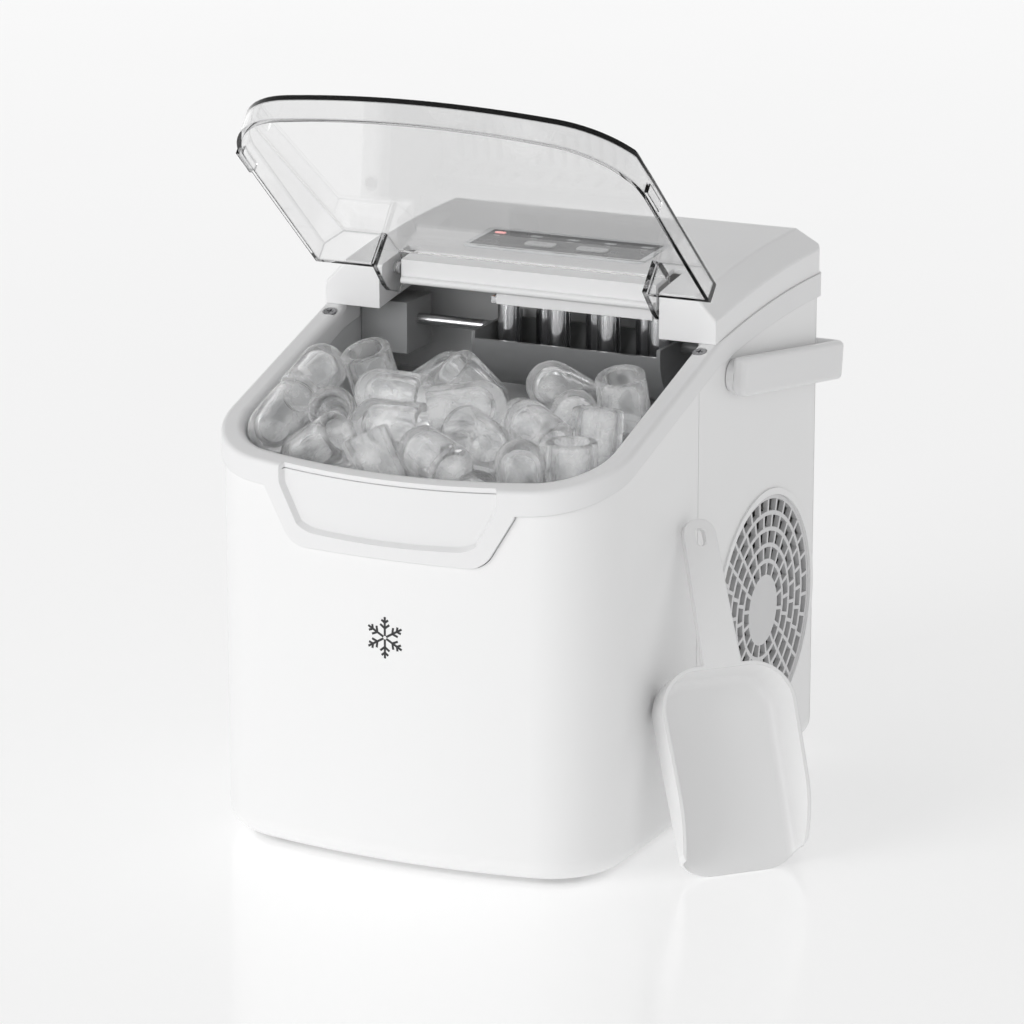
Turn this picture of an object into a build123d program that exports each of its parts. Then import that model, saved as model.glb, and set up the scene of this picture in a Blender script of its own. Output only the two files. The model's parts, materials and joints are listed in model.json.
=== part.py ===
"""Countertop ice maker: white housing, tilting clear lid, carry handle, ice chamber and cooling unit.

Frame: origin on the floor under the middle of the body, +X to the right as seen from the front,
+Y to the back, +Z up.  Everything is in millimetres.  The lid is stored open and the carry handle
folded back, so those are the rest poses of their joints.
"""
from math import cos, radians, sin, tan
import os

from build123d import *

# ---------------------------------------------------------------- driving dimensions: the housing
BODY_WIDTH = 217.0
BODY_FRONT = -143.5
BODY_REAR = 144.0
FRONT_BOW = 15.8  # how far the bowed front falls back at the body's sides, before its corners
FRONT_CORNER = 42.0
REAR_CORNER = 8.0
WALL = 2.5
FLOOR_GAP = 3.0
SKIRT_RADIUS = 12.0
SIDE_SEAM = -14.0  # y of the joint between the front shell and the side panels
REAR_SEAM = 136.6

# the inclined rim and the band round it
RIM_REAR_Y = 4.0
RIM_REAR_Z = 247.0
RIM_SLOPE = 17.8
BAND_PROUD = 2.0
BAND_HEIGHT = 12.0
BAND_ROUND = 2.5
LIP_ROUND = 4.0
BAND_MID = (60.0, 254.3)
BAND_END = (150.0, 257.0)

# the ice chamber
CHAMBER_HALF = 99.0
CHAMBER_FRONT = -133.0
CHAMBER_REAR = 22.0
CHAMBER_CORNER = 34.0
CHAMBER_FLOOR = 98.5
BAY_REAR = 67.0  # the chamber reaches back under the cover, above this floor
BAY_FLOOR = 202.0

# the top cover and its two forward arms
COVER_TOP = ((4.0, 270.0), (60.0, 277.5), (144.0, 281.0))
COVER_CHAMFER = 11.0
COVER_ROUND = 2.0
COVER_FRONT_Y = 14.0
ARM_INSIDE = 78.5
EAR_SLOT_INSIDE = 71.0
EAR_SLOT_REAR = 38.0

# the lid and its hinge
HINGE_Y = 19.0
HINGE_Z = 266.0
LID_OPEN = 59.0
LID_WALL = 2.4
LID_HALF = 110.3
LID_LENGTH = 151.0
LID_SKIRT = 10.5
LID_DEPTH_REAR = 20.5
LID_DEPTH_FRONT = 14.0
LID_CORNER = 46.0
CREASE_ROUND = 2.0
PANEL_ROUND = 1.0
LID_TONGUE = 15.0  # how far the middle of the lid reaches back between the arms
NOTCH_INSIDE = 77.0
EAR_THICK = 2.6
PIN_RADIUS = 2.95

# the carry handle
HANDLE_Y = 26.0
HANDLE_Z = 227.0
HANDLE_DROOP = 8.2
HANDLE_REACH = 125.8
HANDLE_HEIGHT = 20.0
HANDLE_THICK = 7.0
HANDLE_INSIDE = 112.0
HANDLE_ROUND = 2.5

# the fan side
FAN_Y = 72.0
FAN_Z = 92.0
GRILLE_RADIUS = 60.5
GRILLE_HUB = 18.5
GRILLE_RINGS = 5
FAN_X = 92.0
FAN_BLADES = 7
BLADE_TIP = 37.0
SHROUD_SIZE = 86.0
CONDENSER_Y = 77.0
CONDENSER_HALF = 45.0

# controls
FASCIA_WIDTH = 103.0
FASCIA_DEPTH = 37.0
FASCIA_Y = 62.5
BUTTON_SIZE = (17.0, 6.5)
LAMP_PITCH = 21.0

# water tray and the evaporator over it
TRAY_Y = 36.0
TRAY_Z = 236.0
TRAY_RADIUS = 26.0
TRAY_LEFT = -28.0
TRAY_RIGHT = 77.4
EVAPORATOR_LEFT = -23.0
EVAPORATOR_RIGHT = 73.0
FINGER_PITCH = 28.0
FINGER_RADIUS = 6.0
ROW_OFFSET = 8.0

# basket
BASKET_HALF = 90.0
BASKET_FRONT = -127.0
BASKET_REAR = -39.0
BASKET_FLOOR = 112.0
BASKET_TOP = 172.0

# scoop, leaning on the right side
SCOOP_FOOT = (156.4, -67.5)
SCOOP_FACING = 48.0  # azimuth its hollow side faces, measured from the front towards the right
SCOOP_LEAN = 26.0
SCOOP_BOWL = 99.0
SCOOP_HALF = 34.3
SCOOP_DEPTH = 24.0
SCOOP_HANDLE = 75.0
SCOOP_FALL = 40.0  # length over which the side walls fall to the mouth
SCOOP_MOUTH_ROUND = 22.0
SCOOP_WALL = 1.8


# ---------------------------------------------------------------- shared shapes
def rim_z(y):
    """Height of the inclined rim above the floor at a place along the body."""
    return RIM_REAR_Z - (RIM_REAR_Y - y) * tan(radians(RIM_SLOPE))


def cover_z(y):
    """Height of the cover's arched top at a place along the body."""
    (y0, z0), (y1, z1), (y2, z2) = COVER_TOP
    first = (y - y1) * (y - y2) / ((y0 - y1) * (y0 - y2))
    second = (y - y0) * (y - y2) / ((y1 - y0) * (y1 - y2))
    third = (y - y0) * (y - y1) / ((y2 - y0) * (y2 - y1))
    return z0 * first + z1 * second + z2 * third


def bowed_outline(half, front, rear, front_radius, rear_radius, grow=0.0):
    """Plan of the body or of the chamber: a bowed front, four round corners."""
    side_front = front + FRONT_BOW * (half / (BODY_WIDTH / 2)) ** 2
    with BuildSketch() as outline:
        with BuildLine():
            ThreePointArc((-half, side_front), (0, front), (half, side_front))
            Polyline((half, side_front), (half, rear), (-half, rear), (-half, side_front))
        make_face()
        corners = outline.vertices().sort_by(Axis.Y)
        fillet(corners[:2], radius=front_radius)
        fillet(outline.vertices().sort_by(Axis.Y)[-2:], radius=rear_radius)
        if grow:
            offset(amount=grow, kind=Kind.INTERSECTION)
    return outline.sketch


def body_outline(grow=0.0):
    return bowed_outline(BODY_WIDTH / 2, BODY_FRONT, BODY_REAR, FRONT_CORNER, REAR_CORNER, grow)


def chamber_outline(grow=0.0):
    return bowed_outline(CHAMBER_HALF, CHAMBER_FRONT, CHAMBER_REAR, CHAMBER_CORNER, 6.0, grow)


def prism(outline, low, high):
    """An upright block over a plan outline."""
    with BuildPart() as block:
        with BuildSketch(Plane.XY.offset(low)):
            add(outline)
        extrude(amount=high - low)
    return block.part


def under_rim(drop, half=140.0):
    """All that lies lower than the frame's top line, less a vertical drop."""
    with BuildPart() as block:
        with BuildSketch(Plane.YZ):
            with BuildLine():
                front_top = (-160.0, rim_z(-160.0) - drop)
                rear_top = (RIM_REAR_Y, RIM_REAR_Z - drop)
                mid = (BAND_MID[0], BAND_MID[1] - drop)
                end = (BAND_END[0], BAND_END[1] - drop)
                Polyline((-160.0, -20.0), front_top, rear_top)
                ThreePointArc(rear_top, mid, end)
                Polyline(end, (BAND_END[0], -20.0), (-160.0, -20.0))
            make_face()
        extrude(amount=half, both=True)
    return block.part


def box_between(low, high):
    """A plain block given by two opposite corners."""
    size = [b - a for a, b in zip(low, high)]
    middle = [(a + b) / 2 for a, b in zip(low, high)]
    with BuildPart() as block:
        with Locations(tuple(middle)):
            Box(*size)
    return block.part


def rod(start, end, radius):
    """A round bar between two points."""
    axis = Vector(*end) - Vector(*start)
    with BuildPart() as block:
        with BuildSketch(Plane(origin=start, z_dir=axis)):
            Circle(radius)
        extrude(amount=axis.length)
    return block.part


def tube_along(points, radius, bend):
    """A round tube swept along a bent route."""
    with BuildPart() as tube:
        with BuildLine() as route:
            FilletPolyline(*points, radius=bend)
        with BuildSketch(Plane(origin=points[0], z_dir=Vector(*points[1]) - Vector(*points[0]))):
            Circle(radius)
        sweep(path=route.wires()[0])
    return tube.part


def finish(piece, name):
    """Label a finished piece and write its STEP file."""
    piece.label = name
    export_step(piece, f"parts/{name}.step")


os.makedirs("parts", exist_ok=True)


# ---------------------------------------------------------------- housing shells
def housing_skin():
    """Outer walls of the body with the curled-in bottom edge, open at the top and below."""
    inner_radius = SKIRT_RADIUS - WALL
    with BuildPart() as inner:
        add(prism(body_outline(-WALL), FLOOR_GAP + WALL, 270.0))
        fillet(inner.faces().sort_by(Axis.Z)[0].edges(), radius=inner_radius)
    with BuildPart() as skin:
        add(prism(body_outline(), FLOOR_GAP, 270.0))
        fillet(skin.faces().sort_by(Axis.Z)[0].edges(), radius=SKIRT_RADIUS)
        add(inner.part, mode=Mode.SUBTRACT)
        add(prism(body_outline(-SKIRT_RADIUS), 0.0, 20.0), mode=Mode.SUBTRACT)
        add(under_rim(WALL + 0.5), mode=Mode.INTERSECT)
    return skin.part


def apron_outline(grow=0.0):
    """The tongue of the frame that hangs down over the middle of the front, as seen from there."""
    top = rim_z(BODY_FRONT) + 40.0
    shoulder = rim_z(BODY_FRONT) - 10.5
    with BuildSketch(Plane.XZ) as outline:
        with BuildLine():
            Polyline((-68.5, top), (-68.5, shoulder), (-52.0, 161.0), (52.0, 161.0))
            Polyline((52.0, 161.0), (68.5, shoulder), (68.5, top), (-68.5, top))
        make_face()
        fillet(outline.vertices().group_by(Axis.Z)[0], radius=14.0)
        if grow:
            offset(amount=grow, kind=Kind.INTERSECTION)
    return outline.sketch


def apron_prism(grow, front, rear, taper=0.0):
    """The apron's outline carried from front to rear."""
    with BuildPart() as block:
        with BuildSketch(Plane(origin=(0, front, 0), x_dir=(1, 0, 0), z_dir=(0, 1, 0))):
            with Locations(Rotation(0, 0, 0)):
                add(apron_outline(grow).rotate(Axis.X, -90).mirror(Plane.XZ))
        extrude(amount=rear - front, taper=taper)
    return block.part


SKIN = housing_skin()
FAR = 200.0
SIDE_INSIDE = BODY_WIDTH / 2 - SKIRT_RADIUS - 1.0

with BuildPart() as front_shell:
    add(SKIN)
    add(box_between((-FAR, SIDE_SEAM, -FAR), (FAR, FAR, 2 * FAR)), mode=Mode.SUBTRACT)
    add(apron_prism(0.3, -160.0, -120.0), mode=Mode.SUBTRACT)
finish(front_shell.part, "front_shell")

with BuildPart() as right_side_panel:
    add(SKIN)
    add(box_between((SIDE_INSIDE, SIDE_SEAM + 0.4, 0.0), (FAR, REAR_SEAM, FAR * 2)), mode=Mode.INTERSECT)
    with BuildSketch(Plane.YZ.offset(BODY_WIDTH / 2 - 0.5)):
        with Locations((FAN_Y, FAN_Z)):
            Circle(GRILLE_RADIUS + 3.5)
    extrude(amount=1.5)
    with BuildSketch(Plane.YZ.offset(BODY_WIDTH / 2 - 6.0)):
        with Locations((FAN_Y, FAN_Z)):
            Circle(GRILLE_RADIUS)
    extrude(amount=12.0, mode=Mode.SUBTRACT)
    with BuildSketch(Plane.YZ.offset(BODY_WIDTH / 2 - 6.0)):
        with Locations((HANDLE_Y, HANDLE_Z)):
            Circle(4.0)
    extrude(amount=12.0, mode=Mode.SUBTRACT)
finish(right_side_panel.part, "right_side_panel")

with BuildPart() as left_side_panel:
    add(SKIN)
    add(box_between((-FAR, SIDE_SEAM + 0.4, 0.0), (-SIDE_INSIDE, REAR_SEAM, FAR * 2)), mode=Mode.INTERSECT)
    with BuildSketch(Plane.YZ.offset(-BODY_WIDTH / 2 - 6.0)):
        with Locations((FAN_Y, FAN_Z)):
            with GridLocations(9.0, 42.0, 11, 3):
                SlotOverall(34.0, 4.0, rotation=90)
        with Locations((HANDLE_Y, HANDLE_Z)):
            Circle(4.0)
    extrude(amount=12.0, mode=Mode.SUBTRACT)
finish(left_side_panel.part, "left_side_panel")

INLET = (72.0, 34.0)
DRAIN = (-74.0, 30.0)
with BuildPart() as rear_panel:
    add(SKIN)
    add(box_between((-FAR, REAR_SEAM + 0.4, -FAR), (FAR, FAR, FAR * 2)), mode=Mode.INTERSECT)
    with BuildSketch(Plane.XZ.offset(-BODY_REAR - 6.0)):
        with Locations((0, 150.0)):
            with GridLocations(9.0, 34.0, 13, 2):
                SlotOverall(26.0, 4.0, rotation=90)
        with Locations(INLET):
            Circle(7.0)
        with Locations(DRAIN):
            Circle(9.0)
    extrude(amount=12.0, mode=Mode.SUBTRACT)
finish(rear_panel.part, "rear_panel")

with BuildPart() as base_pan:
    add(prism(body_outline(-4.0), FLOOR_GAP + WALL + 0.3, 20.0))
    fillet(base_pan.faces().sort_by(Axis.Z)[0].edges(), radius=8.0)
    add(prism(body_outline(-6.5), FLOOR_GAP + 2 * WALL + 0.3, 21.0), mode=Mode.SUBTRACT)
finish(base_pan.part, "base_pan")

FOOT_PLACES = GridLocations(150.0, 200.0, 2, 2)
with BuildPart() as rubber_feet:
    with FOOT_PLACES:
        Cylinder(10.0, FLOOR_GAP + WALL + 0.3, align=(Align.CENTER, Align.CENTER, Align.MIN))
    chamfer(rubber_feet.faces().group_by(Axis.Z)[0].edges(), length=1.0)
finish(rubber_feet.part, "rubber_feet")

# ---------------------------------------------------------------- top frame with its apron
RIM_PLANE = Plane(origin=(0, RIM_REAR_Y, RIM_REAR_Z), x_dir=(1, 0, 0),
                  z_dir=(0, -sin(radians(RIM_SLOPE)), cos(radians(RIM_SLOPE))))
SCREW_PLACES = ((-103.6, -7.2), (103.6, -7.2))

with BuildPart() as frame_channel:
    add(prism(body_outline(), 100.0, 300.0))
    add(prism(chamber_outline(WALL), 90.0, 310.0), mode=Mode.SUBTRACT)
    add(under_rim(WALL), mode=Mode.INTERSECT)

with BuildPart() as finger_recess:
    add(apron_prism(-4.0, -150.0, -130.0, taper=30.0))
    add(prism(body_outline(-1.2), 100.0, 300.0), mode=Mode.SUBTRACT)

with BuildPart() as apron:
    add(prism(body_outline(BAND_PROUD), 100.0, 300.0))
    add(apron_prism(0.0, -160.0, -100.0), mode=Mode.INTERSECT)
    add(prism(body_outline(-4.0), 90.0, 310.0), mode=Mode.SUBTRACT)
    add(under_rim(BAND_ROUND + 0.5), mode=Mode.INTERSECT)


def on_rim(edge):
    """Whether an edge lies in the inclined rim's top surface."""
    middle = edge @ 0.5
    return middle.Y < RIM_REAR_Y - 0.5 and abs(middle.Z - rim_z(middle.Y)) < 0.6


with BuildPart() as frame_slab:
    add(prism(body_outline(BAND_PROUD), 150.0, 300.0))
    add(under_rim(0.0), mode=Mode.INTERSECT)
    outer_edges = frame_slab.edges().filter_by(on_rim)
    fillet(outer_edges, radius=BAND_ROUND)
    add(under_rim(BAND_HEIGHT), mode=Mode.SUBTRACT)
    add(prism(chamber_outline(), 90.0, 310.0), mode=Mode.SUBTRACT)
    lip_edges = frame_slab.edges().filter_by(on_rim)
    inner_half = CHAMBER_HALF + 1.0
    lip_edges = lip_edges.filter_by(lambda edge: abs((edge @ 0.5).X) < inner_half
                                    and (edge @ 0.5).Y > CHAMBER_FRONT - 1.0)
    fillet(lip_edges, radius=LIP_ROUND)

with BuildPart() as top_frame:
    add(frame_slab.part)
    add(frame_channel.part, mode=Mode.SUBTRACT)
    add(box_between((-101.0, 30.0, 100.0), (101.0, 136.0, 300.0)), mode=Mode.SUBTRACT)
    add(box_between((-CHAMBER_HALF, 14.0, 220.0), (CHAMBER_HALF, 31.0, 300.0)), mode=Mode.SUBTRACT)
    add(apron.part)
    add(finger_recess.part, mode=Mode.SUBTRACT)
    with BuildSketch(RIM_PLANE):
        with Locations(*SCREW_PLACES):
            Circle(3.9)
    extrude(amount=-1.2, mode=Mode.SUBTRACT)
    with BuildSketch(RIM_PLANE):
        with Locations(*SCREW_PLACES):
            Circle(1.55)
    extrude(amount=-8.0, mode=Mode.SUBTRACT)
finish(top_frame.part, "top_frame")

with BuildPart() as frame_screws:
    with BuildSketch(RIM_PLANE.offset(-1.2)):
        with Locations(*SCREW_PLACES):
            Circle(3.4)
    extrude(amount=1.1)
    fillet(frame_screws.faces().group_by(SortBy.AREA)[-1].edges(), radius=0.4)
    with BuildSketch(RIM_PLANE.offset(-1.2)):
        with Locations(*SCREW_PLACES):
            Circle(1.5)
    extrude(amount=-6.0)
    with BuildSketch(RIM_PLANE.offset(-0.8)):
        with Locations(*SCREW_PLACES):
            Rectangle(3.6, 0.8)
            Rectangle(0.8, 3.6)
    extrude(amount=2.0, mode=Mode.SUBTRACT)
finish(frame_screws.part, "frame_screws")


# ---------------------------------------------------------------- top cover
def cover_block(inset):
    """The cover's outside, or with an inset its inside: an arched top with chamfered sides."""
    half = BODY_WIDTH / 2 + 1.0 - inset
    (y0, z0), (y1, z1), (y2, z2) = COVER_TOP
    with BuildPart() as block:
        with BuildSketch(Plane.YZ):
            with BuildLine():
                front_top = (y0 + inset, cover_z(y0 + inset) - inset)
                rear_top = (y2 - inset, z2 - inset)
                Polyline((y0 + inset, 230.0), front_top)
                ThreePointArc(front_top, (y1, z1 - inset), rear_top)
                Polyline(rear_top, (y2 - inset, 230.0), (y0 + inset, 230.0))
            make_face()
        extrude(amount=half, both=True)
        top = block.faces().sort_by(Axis.Z)[-1]
        chamfer(top.edges().filter_by(Axis.X, reverse=True), length=COVER_CHAMFER)
        rear_edge = block.edges().filter_by(Axis.X).group_by(Axis.Y)[-1].sort_by(Axis.Z)[-1]
        chamfer(rear_edge, length=COVER_CHAMFER)
        add(prism(body_outline(1.0 - inset), 220.0, 300.0), mode=Mode.INTERSECT)
        if not inset:
            crease_z = RIM_REAR_Z + COVER_CHAMFER
            fillet(block.edges().filter_by(lambda edge: (edge @ 0.5).Z > crease_z), radius=COVER_ROUND)
    return block.part


FASCIA_TILT = 2.9
FASCIA_PLANE = Plane(origin=(0, FASCIA_Y, cover_z(FASCIA_Y) + 0.1), x_dir=(1, 0, 0),
                     z_dir=(0, -sin(radians(FASCIA_TILT)), cos(radians(FASCIA_TILT))))
BUTTON_PLACES = ((-12.0, -5.5), (17.5, -5.5))
LAMP_PLACES = [(LAMP_PITCH * (i - 2), 9.0) for i in range(5)]

with BuildPart() as rear_cover:
    add(cover_block(0.0))
    add(cover_block(WALL), mode=Mode.SUBTRACT)
    add(under_rim(-0.1), mode=Mode.SUBTRACT)
    # a closed front wall between the arms, set back from them
    add(box_between((-ARM_INSIDE, 0.0, 200.0), (ARM_INSIDE, COVER_FRONT_Y, 300.0)), mode=Mode.SUBTRACT)
    add(box_between((-EAR_SLOT_INSIDE, COVER_FRONT_Y, 259.0),
                    (EAR_SLOT_INSIDE, COVER_FRONT_Y + WALL, cover_z(COVER_FRONT_Y) - 0.5)))
    # the bead along that wall's lower edge and the guard in front of the cooling plate
    with BuildSketch(Plane.YZ.offset(-70.0)):
        with Locations((COVER_FRONT_Y - 0.9, 261.2)):
            RectangleRounded(4.2, 3.6, 1.6)
    extrude(amount=140.0)
    add(box_between((-17.0, COVER_FRONT_Y + 0.6, 253.4), (70.0, COVER_FRONT_Y + WALL, 259.6)))
    # slots for the lid's ears, each with a wall on the arm's side
    for side in (-1, 1):
        outer = side * ARM_INSIDE
        inner = side * EAR_SLOT_INSIDE
        low, high = sorted((outer, inner))
        add(box_between((low, 0.0, 200.0), (high, EAR_SLOT_REAR, 300.0)), mode=Mode.SUBTRACT)
        low, high = sorted((outer, outer + side * WALL))
        with BuildPart(mode=Mode.PRIVATE) as cheek:
            add(box_between((low, RIM_REAR_Y, 230.0), (high, EAR_SLOT_REAR + 6.0, 300.0)))
            add(cover_block(0.0), mode=Mode.INTERSECT)
            add(under_rim(-0.1), mode=Mode.SUBTRACT)
        add(cheek.part)
    # floor of each arm, the pin bores and the fascia's seat
    for side in (-1, 1):
        low, high = sorted((side * ARM_INSIDE, side * (BODY_WIDTH / 2 - 1.0)))
        add(box_between((low, RIM_REAR_Y + 0.1, RIM_REAR_Z + 1.0),
                        (high, RIM_REAR_Y + 2.0, RIM_REAR_Z + 12.0)))
    with BuildSketch(Plane.YZ.offset(-95.0)):
        with Locations((HINGE_Y, HINGE_Z)):
            Circle(PIN_RADIUS)
    extrude(amount=190.0, mode=Mode.SUBTRACT)
    with BuildSketch(FASCIA_PLANE.offset(-1.2)):
        RectangleRounded(FASCIA_WIDTH + 0.4, FASCIA_DEPTH + 0.4, 5.2)
    extrude(amount=8.0, mode=Mode.SUBTRACT)
    with BuildSketch(FASCIA_PLANE.offset(-12.0)):
        Rectangle(FASCIA_WIDTH - 8.0, FASCIA_DEPTH - 8.0)
    extrude(amount=14.0, mode=Mode.SUBTRACT)
finish(rear_cover.part, "rear_cover")

with BuildPart() as hinge_pins:
    for side in (-1, 1):
        add(rod((side * 73.2, HINGE_Y, HINGE_Z), (side * 92.0, HINGE_Y, HINGE_Z), PIN_RADIUS))
finish(hinge_pins.part, "hinge_pins")

# ---------------------------------------------------------------- controls
with BuildPart() as control_fascia:
    with BuildSketch(FASCIA_PLANE.offset(-1.1)):
        RectangleRounded(FASCIA_WIDTH, FASCIA_DEPTH, 5.0)
    extrude(amount=1.3)
    with BuildSketch(FASCIA_PLANE.offset(-2.0)):
        with Locations(*BUTTON_PLACES):
            RectangleRounded(BUTTON_SIZE[0] + 0.6, BUTTON_SIZE[1] + 0.6, 2.2)
        with Locations(*LAMP_PLACES):
            SlotOverall(7.0, 3.0)
    extrude(amount=5.0, mode=Mode.SUBTRACT)
finish(control_fascia.part, "control_fascia")

with BuildPart() as indicator_windows:
    with BuildSketch(FASCIA_PLANE.offset(-3.0)):
        with Locations(*LAMP_PLACES):
            SlotOverall(6.9, 2.9)
    extrude(amount=3.3)
finish(indicator_windows.part, "indicator_windows")

for button_name, place in zip(("start_button", "select_button"), BUTTON_PLACES):
    with BuildPart() as push_button:
        with BuildSketch(FASCIA_PLANE.offset(-3.0)):
            with Locations(place):
                RectangleRounded(BUTTON_SIZE[0], BUTTON_SIZE[1], 2.0)
        extrude(amount=4.0)
        fillet(push_button.faces().sort_by(Axis.Z)[-1].edges(), radius=0.4)
    finish(push_button.part, button_name)

with BuildPart() as control_board:
    with BuildSketch(FASCIA_PLANE.offset(-8.2)):
        Rectangle(96.0, 40.0)
    extrude(amount=1.6)
    with BuildSketch(FASCIA_PLANE.offset(-6.6)):
        with Locations(*BUTTON_PLACES):
            Rectangle(6.0, 6.0)
    extrude(amount=2.0)
    with BuildSketch(FASCIA_PLANE.offset(-6.6)):
        with Locations(*LAMP_PLACES):
            Circle(1.4)
    extrude(amount=3.0)
finish(control_board.part, "control_board")


# ---------------------------------------------------------------- lid
def about_hinge(y, z, turn):
    """A point of the closed lid after the lid has opened by a turn in degrees."""
    back, up = y - HINGE_Y, z - HINGE_Z
    c, s = cos(radians(turn)), sin(radians(turn))
    return HINGE_Y + back * c + up * s, HINGE_Z - back * s + up * c


def lid_plane():
    """Plane of the open lid's free edge: origin at its rear corners, local +Y to the rear."""
    y, z = about_hinge(RIM_REAR_Y - 1.2, rim_z(RIM_REAR_Y - 1.2) + 1.3, LID_OPEN)
    tilt = RIM_SLOPE - LID_OPEN
    return Plane(origin=(0, y, z), x_dir=(1, 0, 0),
                 z_dir=(0, -sin(radians(tilt)), cos(radians(tilt))))


LID_PLANE = lid_plane()


def lid_block(inset):
    """The lid's outside, or with an inset its inside, in the lid's own flat frame."""
    half = LID_HALF - inset
    rear = LID_TONGUE - inset
    front = -LID_LENGTH + inset
    side_front = front + FRONT_BOW
    bevel = LID_DEPTH_REAR - LID_SKIRT
    low = -5.0 if inset else 0.0
    with BuildPart() as block:
        with BuildSketch(Plane.XY.offset(low)) as plan:
            with BuildLine():
                ThreePointArc((-half, side_front), (0, front), (half, side_front))
                Polyline((half, side_front), (half, rear), (-half, rear), (-half, side_front))
            make_face()
            fillet(plan.vertices().sort_by(Axis.Y)[:2], radius=LID_CORNER - inset)
        extrude(amount=LID_DEPTH_REAR - inset - low)
        # the flat panel falls towards the front
        with BuildSketch(Plane.YZ):
            with BuildLine():
                Polyline((-200.0, -6.0), (-200.0, LID_DEPTH_FRONT - inset - 2.0),
                         (-LID_LENGTH, LID_DEPTH_FRONT - inset), (0.0, LID_DEPTH_REAR - inset),
                         (50.0, LID_DEPTH_REAR - inset), (50.0, -6.0), close=True)
            make_face()
        extrude(amount=200.0, both=True, mode=Mode.INTERSECT)
        # bevelled sides above the skirt
        skirt = LID_SKIRT - 0.4 * inset
        with BuildSketch(Plane.XZ):
            with BuildLine():
                Polyline((-half, -6.0), (-half, skirt), (-half + bevel, skirt + bevel),
                         (half - bevel, skirt + bevel), (half, skirt), (half, -6.0), close=True)
            make_face()
        extrude(amount=300.0, both=True, mode=Mode.INTERSECT)
    return block.part


def notch_block(side, grow):
    """The corner that the lid leaves free for one of the cover's arms."""
    low, high = sorted((side * (NOTCH_INSIDE + grow), side * 130.0))
    return box_between((low, -grow, -20.0), (high, 40.0, 40.0))


HINGE_LOCAL = LID_PLANE.to_local_coords(Vector(0, HINGE_Y, HINGE_Z))
with BuildPart() as lid_flat:
    add(lid_block(0.0))
    for side in (-1, 1):
        add(notch_block(side, 0.0), mode=Mode.SUBTRACT)
    # soft creases between the flat panel, its bevelled sides and the skirt
    fillet(lid_flat.edges().filter_by(lambda edge: abs(edge.center().Z - LID_SKIRT) < 0.1
                                      and edge.length > 90.0), radius=CREASE_ROUND)
    fillet(lid_flat.edges().filter_by(lambda edge: edge.center().Z > LID_SKIRT + 0.5
                                      and edge.center().Y < -20.0 and edge.length > 20.0),
           radius=PANEL_ROUND)
with BuildPart() as lid_hollow:
    add(lid_block(LID_WALL))
    for side in (-1, 1):
        add(notch_block(side, -0.0).moved(Location((-side * LID_WALL, -LID_WALL, 0))), mode=Mode.SUBTRACT)
    # the tongue between the arms stays open to the rear
    add(box_between((-NOTCH_INSIDE + LID_WALL, -1.0, -20.0),
                    (NOTCH_INSIDE - LID_WALL, 40.0, LID_DEPTH_REAR - LID_WALL)))
with BuildPart() as lid:
    add(lid_flat.part)
    add(lid_hollow.part, mode=Mode.SUBTRACT)
    # ears that carry the hinge pins
    for side in (-1, 1):
        with BuildSketch(Plane.YZ.offset(min(side * NOTCH_INSIDE, side * (NOTCH_INSIDE - EAR_THICK)))) as ear:
            with BuildLine():
                Polyline((-4.0, 0.0), (14.0, -2.5), (20.0, -2.0), (29.5, 2.5), (28.5, 14.2),
                         (LID_TONGUE, LID_DEPTH_REAR - 0.3), (-4.0, LID_DEPTH_REAR - 0.3), close=True)
            make_face()
            with Locations((HINGE_LOCAL.Y, HINGE_LOCAL.Z)):
                Circle(PIN_RADIUS + 0.06, mode=Mode.SUBTRACT)
        extrude(amount=EAR_THICK)
    # finger tabs on the side skirts
    for side in (-1, 1):
        low, high = sorted((side * (LID_HALF - 0.5), side * (LID_HALF + 1.6)))
        add(box_between((low, -106.0, 0.0), (high, -88.0, 5.0)))
finish(LID_PLANE.location * lid.part, "lid")

# ---------------------------------------------------------------- carry handle
HANDLE_DIR = (0.0, cos(radians(HANDLE_DROOP)), -sin(radians(HANDLE_DROOP)))
HANDLE_PLANE = Plane(origin=(0, HANDLE_Y, HANDLE_Z), x_dir=(1, 0, 0),
                     z_dir=(0, sin(radians(HANDLE_DROOP)), cos(radians(HANDLE_DROOP))))
with BuildPart() as handle:
    outer = HANDLE_INSIDE + HANDLE_THICK
    with BuildSketch(HANDLE_PLANE.offset(-HANDLE_HEIGHT / 2)):
        with BuildLine():
            Polyline((-outer, -8.0), (-outer, HANDLE_REACH + 5.5), (outer, HANDLE_REACH + 5.5),
                     (outer, -8.0), (HANDLE_INSIDE, -8.0), (HANDLE_INSIDE, HANDLE_REACH),
                     (-HANDLE_INSIDE, HANDLE_REACH), (-HANDLE_INSIDE, -8.0), close=True)
        make_face()
    extrude(amount=HANDLE_HEIGHT)
    upright = Axis((0, 0, 0), HANDLE_PLANE.z_dir)
    rear_corners = handle.edges().filter_by(upright).group_by(Axis.Y)[-1]
    fillet(rear_corners, radius=9.0)
    front_corners = handle.edges().filter_by(Axis.X).group_by(Axis.Y)[0]
    fillet(front_corners, radius=7.0)
    fillet(handle.edges(), radius=HANDLE_ROUND)
    for side in (-1, 1):
        add(rod((side * (BODY_WIDTH / 2 + 0.4), HANDLE_Y, HANDLE_Z),
                (side * (HANDLE_INSIDE + 1.0), HANDLE_Y, HANDLE_Z), 8.0))
        add(rod((side * 104.0, HANDLE_Y, HANDLE_Z), (side * 116.05, HANDLE_Y, HANDLE_Z), 3.55),
            mode=Mode.SUBTRACT)
finish(handle.part, "handle")

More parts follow.
